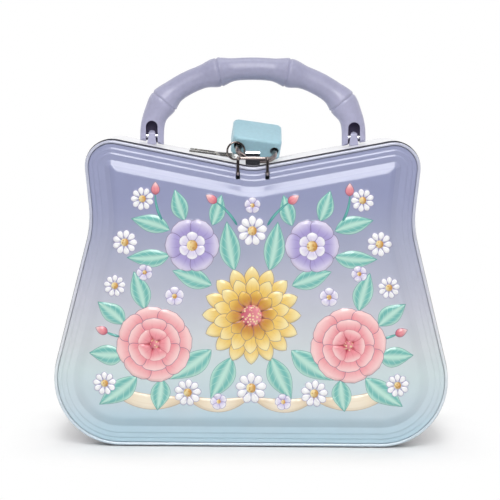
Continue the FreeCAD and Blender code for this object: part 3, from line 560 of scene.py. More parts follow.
# Flowers: rings of petals, outermost first, then the eye's print, radius, level and crown.
# Starts, ends, widths and eyes are shares of the flower's radius.
Ring = namedtuple("Ring", "print count start end width level crown crease turn fullness point")
FLOWERS = {
    "daisy": ((Ring("white", 9, 0.2, 1.0, 0.52, 0.3, 0.25, 0.05, 0, 1.6, 0.6),),
              ("gold_eye", 0.3, 0.5, 0.3)),
    "floret": ((Ring("pale_lilac", 5, 0.1, 1.0, 0.95, 0.28, 0.22, 0.05, 0, 1.5, 0.5),),
               ("gold_eye", 0.26, 0.42, 0.2)),
    "rose": ((Ring("coral", 8, 0.22, 1.0, 0.8, 0.45, 0.35, 0.0, 0, 1.9, 0.5),
              Ring("coral", 6, 0.13, 0.7, 0.66, 0.7, 0.35, 0.0, 20, 1.9, 0.5),
              Ring("coral_inner", 5, 0.04, 0.44, 0.48, 0.95, 0.25, 0.0, -10, 1.9, 0.5)),
             ("coral_eye", 0.13, 1.08, 0.2)),
    "violet": ((Ring("lilac", 6, 0.12, 1.0, 0.93, 0.45, 0.4, 0.12, 0, 1.7, 0.55),
                Ring("pale_lilac", 6, 0.07, 0.52, 0.42, 0.72, 0.25, 0.05, 30, 1.6, 0.6)),
               ("gold_eye", 0.2, 0.9, 0.35)),
    "dahlia": ((Ring("gold", 16, 0.35, 1.0, 0.32, 0.42, 0.3, 0.12, 0, 1.3, 0.75),
                Ring("gold", 14, 0.25, 0.78, 0.29, 0.68, 0.3, 0.12, 11, 1.3, 0.75),
                Ring("gold_inner", 10, 0.12, 0.53, 0.27, 0.92, 0.25, 0.1, 5, 1.3, 0.75)),
               ("coral_eye", 0.21, 1.05, 0.25)),
}
PETAL_OVERLAP = 0.08


def flower(kind, centre, radius, turn):
    """Motifs of a flower; every second petal lies on its neighbours."""
    rings, eye = FLOWERS[kind]
    motifs = []
    for ring in rings:
        start = ring.start * radius
        shape = blade(ring.width * radius, ring.fullness, ring.point)
        for index in [*range(0, ring.count, 2), *range(1, ring.count, 2)]:
            form = (ring.level + PETAL_OVERLAP * (index % 2), ring.crown, ring.crease)
            motifs.append(Motif(ring.print, centre, turn + ring.turn + 360 * index / ring.count, start,
                                ring.end * radius - start, shape, form))
    material, share, *form = eye
    size = share * radius
    return motifs + [Motif(material, centre, 0, -size, 2 * size, disc(size), (*form, 0.0))]


# Strokes by kind: print, fullness and point of the outline, and form
STROKES = {"leaf": ("leaf", 0.85, 1.0, (0.2, 0.25, 0.12)), "ribbon": ("ribbon", 1.0, 0.55, (0.15, 0.3, 0.0)),
           "stem": ("stem", 0.7, 0.35, (0.12, 0.1, 0.0)), "bud": ("coral", 0.75, 0.8, (0.28, 0.25, 0.0))}
STEM_WIDTH, STEM_OVERRUN = 1.1, 0.5
BUD = (5.4, 3.6)


def stroke(kind, x, z, angle, length, width, bend=0.0, sag=0.0):
    """Shape along an axis, and its mirror image."""
    material, fullness, point, form = STROKES[kind]
    shape = blade(width, fullness, point)
    return [Motif(material, (side * x, z), 90 - side * (90 - angle), 0, length, shape, form,
                  side * bend, side * sag) for side in (1, -1)]


def sprig(x, z, angle, length, bend):
    """Thin stem with a bud at its tip."""
    turn = math.radians(angle)
    tip_x = x + length * (math.cos(turn) - bend * math.sin(turn))
    tip_z = z + length * (math.sin(turn) + bend * math.cos(turn))
    lean = angle + math.degrees(math.atan(2 * bend))
    return (stroke("stem", x, z, angle, length + STEM_OVERRUN, STEM_WIDTH, bend)
            + stroke("bud", tip_x, tip_z, lean, *BUD))


# Front design, right half with the middle line; places in millimetres from the middle and the base.
# Drapes and leaves: place, angle, length, width, bend, sag. Sprigs: place, angle, length, bend.
DRAPES = ((1, 20.5, 0.5, 25, 5.6, 0.0, -0.13), (25, 20.5, 9, 34, 6.2, 0.0, -0.13))
LEAVES = ((8, 37, -70, 19, 9.5, 0.1), (16, 40, -42, 21, 9.5, 0.12), (7, 72, 75, 20, 8.5, 0.1),
          (16, 66, 20, 17, 8, 0.0), (46, 29, -46, 19, 9, 0.15), (36, 28, -88, 13, 8, 0.1),
          (51, 38, -10, 14, 8.5, 0.2), (51, 50, 48, 14, 8, -0.15), (43, 56, 80, 16, 8, -0.1),
          (33, 88, 25, 16, 7.5, -0.15), (33, 78, -15, 17, 7.5, 0.2), (27, 92, 66, 13, 7, 0.1),
          (16, 90, 112, 13, 6.5, -0.1))
SPRIGS = ((36, 92, 58, 10, 0.3), (6, 90, 62, 12, -0.25), (53, 45, 12, 5, 0.1))
# Flowers in drawing order: place, radius, turn
FLOWER_PLACES = (
    ("floret", ((31, 61.5, 4.0, 18), (0, 98.2, 3.4, 18), (43, 71, 3.4, 40), (13, 19, 3.4, 30))),
    ("daisy", ((0, 24.5, 6.4, 10), (0, 88, 6.2, 10), (51, 83, 5.2, 0), (25.5, 22.5, 5.6, 5), (59, 26, 4.8, 12),
               (55, 65.5, 4.6, 8), (44, 100.5, 4.8, 20))),
    ("rose", ((39, 42, 15.5, 10),)),
    ("violet", ((24, 82, 11, 0),)),
    ("dahlia", ((0, 54, 20, 0),)),
)


def swag():
    """Front design: flowers and leaves above a draped ribbon, in drawing order."""
    motifs = []
    for kind, places in (("ribbon", DRAPES), ("leaf", LEAVES)):
        for values in places:
            motifs += stroke(kind, *values)
    for values in SPRIGS:
        motifs += sprig(*values)
    for kind, places in FLOWER_PLACES:
        for x, z, radius, turn in places:
            for side in (1, -1) if x else (1,):
                motifs += flower(kind, (side * x, z), radius, turn)
    return motifs


# Back design: an oval wreath round a rose
WREATH_MIDDLE = (0.0, 56.0)
WREATH_RADII = (43.0, 33.0)
WREATH_LEAVES = 36
WREATH_LEAF = (13, 6.0)
WREATH_SLANT = 34
WREATH_FLOWERS = (("daisy", 6.2), ("floret", 4.6), ("daisy", 5.4), ("floret", 4.6))
WREATH_ROUNDS = 5
WREATH_SHIFT = 0.35
WREATH_TURN = 13
WREATH_ROSE = 15.0
ROSE_TURN = 12
ROSE_LEAVES = 6
ROSE_LEAF_START = 0.6
ROSE_LEAF_WIDTH = 9.0
FLAT = (0.0, 0.0, 0.0)


def oval(turn):
    """Point of the wreath's middle line."""
    return np.array(WREATH_MIDDLE) + np.array(WREATH_RADII) * unit(turn)


def flat_leaf(centre, angle, start, length, width):
    material, fullness, point, _ = STROKES["leaf"]
    return Motif(material, centre, angle, start, length, blade(width, fullness, point), FLAT)


def wreath():
    """Back design: two slanting rows of leaves along an oval, small flowers and a rose."""
    motifs = []
    for index in range(WREATH_LEAVES):
        turn = 360 * index / WREATH_LEAVES
        slant = WREATH_SLANT if index % 2 else -WREATH_SLANT
        motifs.append(flat_leaf(oval(turn), turn + 90 + slant, 0, *WREATH_LEAF))
    flowers = WREATH_FLOWERS * WREATH_ROUNDS
    for index, (kind, radius) in enumerate(flowers):
        motifs += flower(kind, oval(360 * (index + WREATH_SHIFT) / len(flowers)), radius, WREATH_TURN * index)
    for index in range(ROSE_LEAVES):
        motifs.append(flat_leaf(WREATH_MIDDLE, 360 * (index + 0.5) / ROSE_LEAVES, ROSE_LEAF_START * WREATH_ROSE,
                                WREATH_ROSE, ROSE_LEAF_WIDTH))
    return motifs + flower("rose", WREATH_MIDDLE, WREATH_ROSE, ROSE_TURN)


# Panels


def inside(loop, points):
    """Whether points lie inside a closed loop."""
    x, z = points[:, 0], points[:, 1]
    result = np.zeros(len(points), bool)
    for (ax, az), (bx, bz) in zip(loop, np.roll(loop, -1, 0)):
        crosses = (az > z) != (bz > z)
        if az != bz:
            result ^= crosses & (x < (bx - ax) * (z - az) / (bz - az) + ax)
    return result


def inner_loop(loop, depth):
    """Points inside a loop at a depth from its edge."""
    step = np.roll(loop, -1, 0) - np.roll(loop, 1, 0)
    length = np.maximum(np.linalg.norm(step, axis=1), 1e-9)
    normal = np.column_stack((-step[:, 1], step[:, 0])) / length[:, None]
    area = np.cross(loop, np.roll(loop, -1, 0)).sum()
    return loop + normal * depth * (1 if area > 0 else -1)


# Fineness of the embossed field, in millimetres
GRID_STEP = 0.85
GRID_ROW = 0.866
GRID_CLEAR = 0.42
RELIEF_EDGE = 0.8
RELIEF_STEPS = (0.28, 0.62)
RELIEF_CLEAR = 0.2
CDT_INSIDE, CDT_CLOSE = 1, 1e-5


def clear_of(others, points, gap):
    """Points further than a gap from all others."""
    tree = KDTree(len(others))
    for index, other in enumerate(others):
        tree.insert((*other, 0), index)
    tree.balance()
    return np.array([point for point in points if tree.find((*point, 0))[2] > gap])


def field_points(ring, motifs):
    """Rows of points just inside each motif's edge, then an even grid clear of them."""
    fixed = np.vstack([ring] + [motif.loop for motif in motifs])
    rows = np.vstack([inner_loop(motif.loop, depth) for depth in RELIEF_STEPS for motif in motifs])
    rows = clear_of(fixed, rows, RELIEF_CLEAR)
    low, high = ring.min(0), ring.max(0)
    grid = []
    for row, z in enumerate(np.arange(low[1] + GRID_STEP / 2, high[1], GRID_STEP * GRID_ROW)):
        shift = GRID_STEP / 2 * (row % 2)
        grid += [(x + shift, z) for x in np.arange(low[0], high[0], GRID_STEP)]
    grid = np.array(grid)
    taken = np.vstack((fixed, rows))
    return np.vstack((rows, clear_of(taken, grid[inside(ring, grid)], GRID_CLEAR)))


def field_rise(points, emboss):
    """Rise of the plain field: the border's shoulder, then a shallow dome."""
    inset = inset_of(points)
    steps = spline(np.array(BORDER[-FIELD_SHOULDER:] + FIELD, float), FIELD_STEPS)
    dome = np.clip((inset - FIELD_INSET) / DOME_RUN, 0, 1)
    return np.interp(inset, steps[:, 0], steps[:, 1]) + emboss * FIELD_DOME * dome * (2 - dome)


def indices_inside(points, loop):
    """Indices of the points inside a loop."""
    near = np.flatnonzero(((points >= loop.min(0)) & (points <= loop.max(0))).all(1))
    return near[inside(loop, points[near])]


def field_mesh(ring, motifs, emboss):
    """Points, rises, triangles, each triangle's top motif (-1 for ground), and the ring's points."""
    points, faces = [], []
    for loop in [ring] + [motif.loop for motif in motifs]:
        faces.append(list(range(len(points), len(points) + len(loop))))
        points += [tuple(point) for point in loop]
    points += [tuple(point) for point in field_points(ring, motifs)]
    result = delaunay_2d_cdt([Vector(point) for point in points], [], faces, CDT_INSIDE, CDT_CLOSE, True)
    flat = np.array([tuple(point) for point in result[0]])
    triangles = np.array([list(face) for face, sources in zip(result[2], result[5]) if 0 in sources])
    middles = flat[triangles].mean(1)
    tops = np.full(len(triangles), -1)
    place_of = {source: index for index, sources in enumerate(result[3]) for source in sources}
    rim = [place_of[index] for index in range(len(ring))]
    rise = field_rise(flat, emboss)
    for index, motif in enumerate(motifs):
        tops[indices_inside(middles, motif.loop)] = index
        near = indices_inside(flat, motif.loop)
        share = ease(edge_distance(motif.loop, flat[near]) / RELIEF_EDGE)
        target = FIELD_RISE + emboss * (FIELD_DOME + motif.height(*motif.inside_values(flat[near])))
        rise[near] += (target - rise[near]) * share
    return flat, rise, triangles, tops, rim


def store_art(mesh, flat, triangles, tops, motifs):
    """Store each corner's place inside its motif for the print."""
    values = np.zeros((len(mesh.loops), 3), np.float32)
    corner = 3 * np.arange(len(triangles))[:, None] + np.arange(3)
    for index, motif in enumerate(motifs):
        mine = np.flatnonzero(tops == index)
        points = flat[triangles[mine]].reshape(-1, 2)
        along, across = motif.inside_values(points)
        rim = edge_distance(motif.loop, points)
        values[corner[mine].ravel()] = np.column_stack((along, across, rim))
    layer = mesh.attributes.new("art", "FLOAT_VECTOR", "CORNER")
    layer.data.foreach_set("vector", values.ravel())


def panel_field(name, bead_y, facing, motifs, emboss, palette):
    """Printed field of a panel, embossed in full at 1 and flat at 0."""
    border_inset, border_rise = BORDER[-1]
    ring = outline(border_inset)
    flat, rise, triangles, tops, rim = field_mesh(ring, motifs, emboss)
    front = at_depth(flat, bead_y + facing * rise)
    back = at_depth(ring, bead_y + facing * (border_rise - TIN))
    slots = {kind: 2 + index for index, kind in enumerate(sorted({motif.material for motif in motifs}))}
    materials = [palette["ground"], palette["inside"]] + [palette[kind] for kind in slots]
    first, size, turn = len(front), len(ring), -facing
    order = triangles[:, ::turn]
    walls = [(rim[i], first + i, first + (i + 1) % size, rim[(i + 1) % size])[::turn] for i in range(size)]
    cap = tuple(range(first, first + size))[::-turn]
    faces = [tuple(face) for face in order.tolist()] + walls + [cap]
    piece = make_piece(name, np.vstack((front, back)), faces, materials, outward=False)
    kinds = [0 if top < 0 else slots[motifs[top].material] for top in tops] + [1] * (len(walls) + 1)
    piece.data.polygons.foreach_set("material_index", kinds)
    store_art(piece.data, flat, order, tops, motifs)
    return piece


def panel_border(name, bead_y, facing, palette):
    """Pressed border of a panel, with its edge tucked behind the bead."""
    length = sum(math.dist(a, b) for a, b in zip(BORDER, BORDER[1:]))
    curve = spline(np.array(BORDER, float), round(length / BORDER_STEP)).tolist()
    tuck = [(PANEL_EDGE_INSET, -PANEL_TUCK), (BORDER[0][0] - TUCK_STEP, -PANEL_TUCK)]
    front = [(inset, bead_y + facing * rise) for inset, rise in tuck + curve]
    back = [(inset, y - facing * TIN) for inset, y in reversed(front)]
    points, faces = sweep(front + back)
    piece = make_piece(name, points, faces, [palette["border"], palette["inside"]], ROLLED_SHARP)
    size = len(faces) // len(front + back)
    kinds = [0] * (size * (len(front) - 1)) + [1] * (size * (len(back) + 1))
    piece.data.polygons.foreach_set("material_index", kinds)
    return piece


def lid_border(palette):
    """Lid's border with the slots of the bail's hooks."""
    border = panel_border("lid_border", FRONT_BEAD_Y, -1, palette)
    spacing, half, low, high = BAIL_SLOT
    front, back = SLOT_DEPTHS
    for x in (-spacing, spacing):
        cut(border, block("slot_room", (x - half, front, low), (x + half, back, high), palette["border"]))
    return border


def roll(bead, turns):
    """Profile points round a bead."""
    inset, depth, radius = bead
    return [(inset + radius * math.cos(turn), depth + radius * math.sin(turn)) for turn in turns]


def lid_rim(material):
    """Side strip of the lid with its rolled bead, open along the hinge."""
    back = PARTING_Y - PARTING_GAP / 2
    within = BAND_INSET + TIN
    bead = roll(BEAD, np.radians(np.linspace(*BEAD_TURNS, BEAD_POINTS)))
    points, faces = sweep([(BAND_INSET, back)] + bead + [(within, BEAD[1] + BEAD_TO_BAND), (within, back)])
    rim = make_piece("lid_rim", points, faces, [material])
    return cut(rim, block("hinge_room", *HINGE_ROOM, material))


def back_bead(material):
    points, faces = sweep(roll(BACK_BEAD, np.linspace(0, 2 * math.pi, BACK_BEAD_POINTS, endpoint=False)))
    return make_piece("back_bead", points, faces, [material], ROLLED_SHARP)


# Handle

HANDLE_HALF_SPAN = 41.9
SLOPE_RISE = math.tan(math.radians(TOP_SLOPE))
PIN_ABOVE_TOP = 3.4
PIN_HEIGHT = DIP_HEIGHT + HANDLE_HALF_SPAN * SLOPE_RISE + PIN_ABOVE_TOP
# Middle line of the right half from its foot: step in from the pin, rise above it
HANDLE_KNEE = ((0.0, -5.0), (0.0, 0.0), (0.2, 3.7), (1.2, 8.0), (3.3, 12.0), (6.0, 15.6),
               (12.3, 20.6), (19.6, 24.1), (26.9, 26.35), (34.0, 27.65))
HANDLE_TOP_RISE = 28.05
HANDLE_STEPS, HANDLE_SIDES = 420, 56
# Joints of the bamboo: places along it, waist at each, radius and run of the swelling
HANDLE_RINGS = (20.1, 46.2)
HANDLE_WAISTS = (4.9, 4.65)
HANDLE_RING = 6.02
HANDLE_SWELL = 4.6
SWELL_POWER = 2.4
# Groove and lip at a joint: size, distance from the joint, run
HANDLE_GROOVE = (0.34, 0.5, 0.34)
HANDLE_LIP = (0.12, 1.5, 0.45)
LEG_HALF_WIDTH, LEG_HALF_DEPTH = 4.95, 2.85
LEG_ROUND = (5.0, 15.0)
# Pocket of a leg, and radius of a leg's end about the pin
POCKET_WIDTH, POCKET_HEIGHT, POCKET_BACK_Y = 4.9, 6.3, 1.5
LEG_END_RADIUS = 2.75
POCKET_ARCH_POINTS, LEG_END_POINTS = 17, 25
CUT_REACH, CUT_DROP = 9.0, 15.0


def handle_radii(near):
    """Half width and half depth of the bamboo at a distance from its nearer end."""
    gap = near - min(HANDLE_RINGS, key=lambda ring_at: abs(near - ring_at))
    waist = np.interp(near, HANDLE_RINGS, HANDLE_WAISTS)
    bulge = (HANDLE_RING - waist) * math.exp(-(abs(gap) / HANDLE_SWELL) ** SWELL_POWER)
    groove, lip = (size * math.exp(-((gap - distance) / length) ** 2)
                   for size, distance, length in (HANDLE_GROOVE, HANDLE_LIP))
    width = waist + bulge - groove + lip
    share = ease((near - LEG_ROUND[0]) / (LEG_ROUND[1] - LEG_ROUND[0]))
    leg = LEG_HALF_WIDTH + (width - waist) * share
    return leg + (width - leg) * share, LEG_HALF_DEPTH + (width - LEG_HALF_DEPTH) * share


def handle_piece(material, pocket_shade_material):
    """Bamboo-look arch with ringed joints and an arched pocket in each leg."""
    right = [(HANDLE_HALF_SPAN - step, PIN_HEIGHT + rise) for step, rise in HANDLE_KNEE]
    path = [(-x, z) for x, z in right] + [(0.0, PIN_HEIGHT + HANDLE_TOP_RISE)] + right[::-1]
    curve = spline(np.array(path, float), HANDLE_STEPS)
    lengths = lengths_along(curve)
    tangent = np.gradient(curve, axis=0)
    tangent /= np.linalg.norm(tangent, axis=1)[:, None]
    angle = 2 * np.pi * np.arange(HANDLE_SIDES) / HANDLE_SIDES
    points = []
    for centre, along, at in zip(curve, tangent, lengths):
        wide, deep = handle_radii(min(at, lengths[-1] - at))
        points.append(np.column_stack((centre[0] + along[1] * wide * np.cos(angle), deep * np.sin(angle),
                                       centre[1] - along[0] * wide * np.cos(angle))))
    faces = grid_faces(len(curve), HANDLE_SIDES, False)
    last = (len(curve) - 1) * HANDLE_SIDES
    faces += [tuple(range(HANDLE_SIDES))[::-1], tuple(range(last, last + HANDLE_SIDES))]
    piece = make_piece("handle_bamboo", np.vstack(points), faces, [material, pocket_shade_material])
    cutters = []
    for side in (-1, 1):
        # The pockets' walls take the pocket material, a dark colour painted as the shade of the recess
        cutters += [pocket_cutter(side, pocket_shade_material), leg_cutter(side, material)]
    return cut(piece, *cutters)


def pocket_cutter(side, material):
    """Room of a leg's pocket: arched at the top, open below and at the front."""
    half = POCKET_WIDTH / 2
    middle = side * HANDLE_HALF_SPAN
    crown = PIN_HEIGHT + POCKET_HEIGHT - half
    low = PIN_HEIGHT - CUT_REACH
    loop = [(middle - half, low), (middle + half, low)]
    for turn in np.linspace(0, math.pi, POCKET_ARCH_POINTS):
        loop.append((middle + half * math.cos(turn), crown + half * math.sin(turn)))
    points = [(x, y, z) for y in (-CUT_REACH, POCKET_BACK_Y) for x, z in loop]
    return make_piece("pocket_cutter", points, prism_faces(len(loop)), [material])


def leg_cutter(side, material):
    """Room round a leg's end: rounded about the pin, sloping with the top."""
    points = []
    for step in (-CUT_REACH, CUT_REACH):
        radius = LEG_END_RADIUS - side * SLOPE_RISE * step
        loop = [(radius * math.cos(turn), radius * math.sin(turn))
                for turn in np.linspace(math.pi, 2 * math.pi, LEG_END_POINTS)]
        loop += [(CUT_REACH, 0.0), (CUT_REACH, -CUT_DROP), (-CUT_REACH, -CUT_DROP), (-CUT_REACH, 0.0)]
        points += [(side * HANDLE_HALF_SPAN + step, y, PIN_HEIGHT + z) for y, z in loop]
    return make_piece("leg_cutter", points, prism_faces(len(loop)), [material])


# Materials of the pieces

METAL_MOTTLE = (0.05, 300)
METAL_DETAIL = 4
METAL_GLOSS = (0.75, 1.25)

# Drift of a plastic's tone: scale and detail, then range and strength
DRIFT_NOISE = (60, 3)
DRIFT = (0.35, 0.65, 0.0, 0.3)

# Body: lacquer and a dark metal edge painted as the shade of the parting gap, depths in metres where that edge
# begins, its metal there
BODY_WHITE, BODY_SHADED_EDGE = srgb(238, 238, 242), srgb(70, 68, 78)
SHADED_EDGE_DEPTHS = (-0.02480, -0.02484)
BARE_METAL = 0.9
BODY_ROUGHNESS = 0.28


def plain_metal(name, colour, roughness, grain, depth, stretch=EVEN):
    """Metal with a faint grain and uneven polish."""
    material, tree, shader = new_material(name)
    pattern = noise(tree, grain, METAL_DETAIL, stretch)
    gloss = spread(tree, pattern, *NOISE_RANGE, *(roughness * share for share in METAL_GLOSS))
    colour = mottled(tree, colour, *METAL_MOTTLE)
    fill(tree, shader, {"Base Color": colour, "Metallic": 1.0, "Roughness": gloss})
    relief(tree, shader, pattern, depth)
    return material


def plastic(name, colour, shade, roughness, shade_heights):
    """Moulded plastic with a fine grain, a random drift of tone, and painted shade that deepens the tone with
    height.
    """
    material, tree, shader = new_material(name)
    drift = spread(tree, noise(tree, *DRIFT_NOISE), *DRIFT)
    # Painted shade: the tone deepens towards the top between the shade heights, on top of the random drift
    drift = math_node(tree, "ADD", drift, spread(tree, place_along(tree, "Z"), *shade_heights))
    coated(tree, shader, PLASTIC, mottled(tree, mix(tree, drift, colour, shade), *PLASTIC.mottle), roughness)
    return material


def body_tin():
    """Pearl-white lacquer whose cut edge at the parting line is metal painted dark, as painted shade of the
    gap.
    """
    material, tree, shader = new_material("body_tin")
    # Mask of the cut edge, where a dark colour is painted as the gap's shade and the lacquer turns to metal
    bare = spread(tree, place_along(tree, "Y"), *SHADED_EDGE_DEPTHS)
    white = mottled(tree, BODY_WHITE, *BODY.mottle)
    coated(tree, shader, BODY, mix(tree, bare, white, BODY_SHADED_EDGE), BODY_ROUGHNESS)
    fill(tree, shader, {"Metallic": math_node(tree, "MULTIPLY", bare, BARE_METAL)})
    return material


GOLD_DEEP, GOLD, GOLD_PALE = srgb(206, 148, 62), srgb(240, 201, 104), srgb(252, 236, 178)
CORAL_DEEP, CORAL, CORAL_PALE = srgb(205, 98, 118), srgb(238, 150, 158), srgb(252, 214, 212)
LILAC_DEEP, LILAC, LILAC_PALE = srgb(126, 112, 176), srgb(172, 160, 212), srgb(226, 219, 240)
TEAL_DEEP, TEAL, TEAL_PALE = srgb(66, 142, 142), srgb(112, 186, 178), srgb(190, 228, 214)
SAND_DEEP, SAND, SAND_PALE = srgb(186, 152, 118), srgb(226, 205, 174), srgb(246, 234, 212)
WHITE_SHADE, WHITE_PAINT = srgb(206, 208, 226), srgb(250, 249, 250)
INK = srgb(112, 92, 128)

# Prints of petals: root, middle, tip and edge, and number of veins where it differs
PETALS = {
    "gold": (GOLD_DEEP, GOLD, GOLD_PALE, INK),
    "gold_inner": (CORAL_DEEP, GOLD_DEEP, GOLD, INK),
    "coral": (CORAL_DEEP, CORAL, CORAL_PALE, INK),
    "coral_inner": (CORAL_DEEP, CORAL, CORAL_PALE, CORAL_DEEP),
    "lilac": (LILAC_DEEP, LILAC, LILAC_PALE, INK),
    "white": (WHITE_SHADE, WHITE_PAINT, WHITE_PAINT, LILAC_DEEP, 6.0),
    "pale_lilac": (LILAC, LILAC_PALE, WHITE_PAINT, LILAC_DEEP, 6.0),
    "stem": (TEAL_DEEP, TEAL, TEAL, TEAL_DEEP, 2.0),
    "ribbon": (SAND, SAND_PALE, SAND, SAND_DEEP, 7.0),
}
# Prints of eyes: middle, rim and dots
EYES = {"coral_eye": (CORAL_DEEP, CORAL, GOLD_PALE), "gold_eye": (GOLD_PALE, GOLD_DEEP, GOLD_DEEP)}
# Metals: name, colour, roughness, grain per metre, its depth in metres, its stretch
METALS = {
    "inside": ("tin_inside", srgb(186, 186, 190), 0.4, 500, 0.000003),
    "bare": ("bare_tin", srgb(176, 176, 182), 0.4, 450, 0.000004, (1, 8, 8)),
    "chrome": ("chrome", srgb(205, 206, 212), 0.1, 700, 0.000004),
    "wire": ("nickel_wire", srgb(150, 138, 134), 0.2, 900, 0.00001),
    "keys": ("key_nickel", srgb(226, 224, 216), 0.2, 600, 0.000008, (1, 6, 6)),
    "brass": ("lock_brass", srgb(206, 170, 98), 0.2, 800, 0.00002),
    "cast": ("lock_cast", srgb(120, 120, 126), 0.5, 1500, 0.00008),
}
# Plastics: name, colour, deeper tone, roughness, heights in metres where painted shade deepens the tone
ABOVE_ALL = (0.2, 0.3)
PLASTICS = {
    # The handle's tone deepens towards the top of the arch as painted shade
    "handle": ("handle_plastic", srgb(179, 178, 204), srgb(160, 160, 186), 0.38, (0.132, 0.156)),
    # Pocket: dark colours painted as the shade inside the recess of each leg
    "pocket": ("pocket_painted_shade", srgb(86, 76, 112), srgb(74, 62, 98), 0.5, ABOVE_ALL),
    "lock": ("lock_plastic", srgb(166, 204, 216), srgb(150, 194, 206), 0.4, ABOVE_ALL),
}


def make_palette():
    palette = {
        "ground": lacquer("print_ground", sky),
        "border": lacquer("print_border", tinted_sky, BORDER_TINT),
        "bead": lacquer("bead_print", tinted_sky, BEAD_TINT, BEAD_ROUGHNESS),
        "leaf": lacquer("print_leaf", leaf_print, (TEAL, TEAL_PALE, TEAL_DEEP)),
        "body": body_tin(),
    }
    for print_of, table in ((petal_print, PETALS), (eye_print, EYES)):
        for kind, colours in table.items():
            palette[kind] = lacquer("print_" + kind, print_of, colours)
    for kind, values in METALS.items():
        palette[kind] = plain_metal(*values)
    for kind, values in PLASTICS.items():
        palette[kind] = plastic(*values)
    return palette


# CAD nodes that keep their shape, by material
MATERIAL_NODES = {
    "body": "body_band", "bare": "inner_collar body_hinge_leaf lid_hinge_leaf hinge_pin lug_plates",
    "chrome": "catch_staple handle_pins", "wire": "hasp_bail padlock_shackle key_ring",
    "handle": "handle_lug_left handle_lug_right", "lock": "padlock_cover", "cast": "padlock_core",
    "brass": "padlock_cylinder padlock_bolt", "keys": "key_front key_back",
}


# Stage, in metres

# Lights: name, place, aim, size, power; pairs stand left and right and shiny faces don't mirror them
LIGHTS = (("softbox", (0.0, -0.79, 0.74), (0.0, 0.0, 0.11), (0.29, 0.85), 6.6),
          ("overhead", (0.0, 0.1, 1.2), (0.0, 0.0, 0.0), (0.42, 0.36), 1.5))
LIGHT_PAIRS = (("fill", (0.9, -0.6, 0.45), 2.2), ("back", (0.7, 0.9, 0.5), 3.2))
PAIR_AIM, PAIR_SIZE = (0.0, 0.0, 0.07), (0.6, 0.7)


def area_light(name, place_at, aim, size, power, mirrored=True):
    lamp = bpy.data.lights.new(name, "AREA")
    lamp.shape = "RECTANGLE"
    lamp.size, lamp.size_y = size
    lamp.energy = power
    holder = bpy.data.objects.new(name, lamp)
    holder.location = place_at
    holder.rotation_euler = (Vector(aim) - Vector(place_at)).to_track_quat("-Z", "Y").to_euler()
    holder.visible_glossy = mirrored
    bpy.context.scene.collection.objects.link(holder)


# Half sizes of the box's foot on the floor, and how far from it the floor turns white
FLOOR_FOOT = (0.056, 0.031, 0.0)
FLOOR_FADE = (0.004, 0.05)
FLOOR_HALF = 450.0
FLOOR_PAPER = {"Base Color": (0.93, 0.93, 0.93, 1), "Roughness": 0.9, "Specular IOR Level": 0.05}
FLOOR_BOUNCE = (0.62, 0.62, 0.62, 1)
WHITE = (1, 1, 1, 1)


def vector_node(tree, operation, inputs, output="Vector"):
    return add(tree, "VectorMath", inputs, operation=operation).outputs[output]


def make_floor():
    """Pale floor that keeps the shadow near the box and fades to white."""
    material, tree, shader = new_material("floor_paper")
    fill(tree, shader, FLOOR_PAPER)
    glow = add(tree, "Emission", {"Color": WHITE, "Strength": 1.0}).outputs["Emission"]
    beyond = vector_node(tree, "SUBTRACT", {0: vector_node(tree, "ABSOLUTE", {0: place(tree)}), 1: FLOOR_FOOT})
    beyond = vector_node(tree, "MAXIMUM", {0: beyond, 1: (0, 0, 0)})
    far = spread(tree, vector_node(tree, "LENGTH", {0: beyond}, "Value"), *FLOOR_FADE)
    path = add(tree, "LightPath").outputs
    seen = math_node(tree, "MAXIMUM", path["Is Camera Ray"], path["Is Glossy Ray"])
    bounce = add(tree, "BsdfDiffuse", {"Color": FLOOR_BOUNCE}).outputs["BSDF"]
    paper = add(tree, "MixShader", {0: far, 1: shader.outputs["BSDF"], 2: glow}).outputs["Shader"]
    blend = add(tree, "MixShader", {0: seen, 1: bounce, 2: paper}).outputs["Shader"]
    fill(tree, tree.nodes["Material Output"], {"Surface": blend})
    corners = [(x * FLOOR_HALF, y * FLOOR_HALF, 0) for x, y in ((-1, -1), (1, -1), (1, 1), (-1, 1))]
    floor = make_piece("floor", corners, [(0, 1, 2, 3)], [material], outward=False)


# Light of the room from below to above; room as shiny faces mirror it from front to back
ROOM_STRENGTH = 0.32
ROOM_UP = (-0.2, 1.0)
ROOM_LIGHT = ((0.0, (0.6, 0.6, 0.62, 1)), (1.0, WHITE))
MIRRORED_ROOM = ((0.0, (0.05, 0.05, 0.055, 1)), (0.35, (0.13, 0.13, 0.14, 1)), (0.6, (0.9, 0.9, 0.91, 1)),
                 (1.0, WHITE))


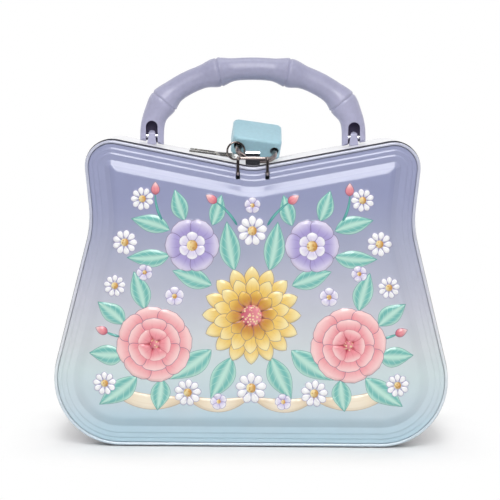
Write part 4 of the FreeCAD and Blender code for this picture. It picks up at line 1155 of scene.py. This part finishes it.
def make_world():
    """White behind the object; softer light from above than from the sides."""
    world = bpy.data.worlds.new("studio")
    bpy.context.scene.world = world
    world.use_nodes = True
    tree = world.node_tree
    tree.nodes.clear()

    def background(colour, strength):
        return add(tree, "Background", {"Color": colour, "Strength": strength}).outputs["Background"]

    direction = add(tree, "SeparateXYZ", {"Vector": add(tree, "TexCoord").outputs["Generated"]}).outputs
    light = background(ramp(tree, spread(tree, direction["Z"], *ROOM_UP), ROOM_LIGHT), ROOM_STRENGTH)
    room = background(ramp(tree, spread(tree, direction["Y"], -1.0, 1.0), MIRRORED_ROOM), 1.0)
    path = add(tree, "LightPath").outputs
    mirrored = add(tree, "MixShader", {0: path["Is Glossy Ray"], 1: light, 2: room}).outputs["Shader"]
    blend = add(tree, "MixShader", {0: path["Is Camera Ray"], 1: mirrored, 2: background(WHITE, 1.0)})
    add(tree, "OutputWorld", {"Surface": blend.outputs["Shader"]})


# Place in metres, angles in degrees, lens and sensor in millimetres
CAMERA_PLACE = (-0.00084, -0.780, 0.142)
CAMERA_PITCH = 4.72
CAMERA_ROLL = 0.43
CAMERA_LENS = 134.85
CAMERA_SENSOR = 36.0


def make_camera():
    camera = bpy.data.cameras.new("camera")
    camera.lens = CAMERA_LENS
    camera.sensor_width = CAMERA_SENSOR
    holder = bpy.data.objects.new("camera", camera)
    pitch = Matrix.Rotation(math.radians(90 - CAMERA_PITCH), 4, "X")
    roll_turn = Matrix.Rotation(math.radians(CAMERA_ROLL), 4, "Z")
    holder.matrix_world = Matrix.Translation(CAMERA_PLACE) @ pitch @ roll_turn
    bpy.context.scene.collection.objects.link(holder)
    bpy.context.scene.camera = holder


def make_stage():
    make_floor()
    make_world()
    for values in LIGHTS:
        area_light(*values)
    for name, (x, y, z), power in LIGHT_PAIRS:
        for word, side in (("left_", -1), ("right_", 1)):
            area_light(word + name, (side * x, y, z), PAIR_AIM, PAIR_SIZE, power, False)
    make_camera()
    bpy.context.scene.view_settings.view_transform = "Standard"


# Assembly


def stand_for(piece, node, body):
    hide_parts(node)
    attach(piece, body)


def build():
    palette = make_palette()
    for kind, nodes in MATERIAL_NODES.items():
        for node in nodes.split():
            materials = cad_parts[node].data.materials
            materials.clear()
            materials.append(palette[kind])
    stand_for(lid_rim(palette["bead"]), "lid_band", "lid")
    for piece in (lid_border(palette), panel_field("lid_field", FRONT_BEAD_Y, -1, swag(), 1.0, palette)):
        stand_for(piece, "lid_panel", "lid")
    for piece in (panel_border("back_border", BACK_BEAD_Y, 1, palette), back_bead(palette["bead"]),
                  panel_field("back_field", BACK_BEAD_Y, 1, wreath(), 0.0, palette)):
        stand_for(piece, "back_panel", "body")
    stand_for(handle_piece(palette["handle"], palette["pocket"]), "handle", "handle")
    make_stage()


build()
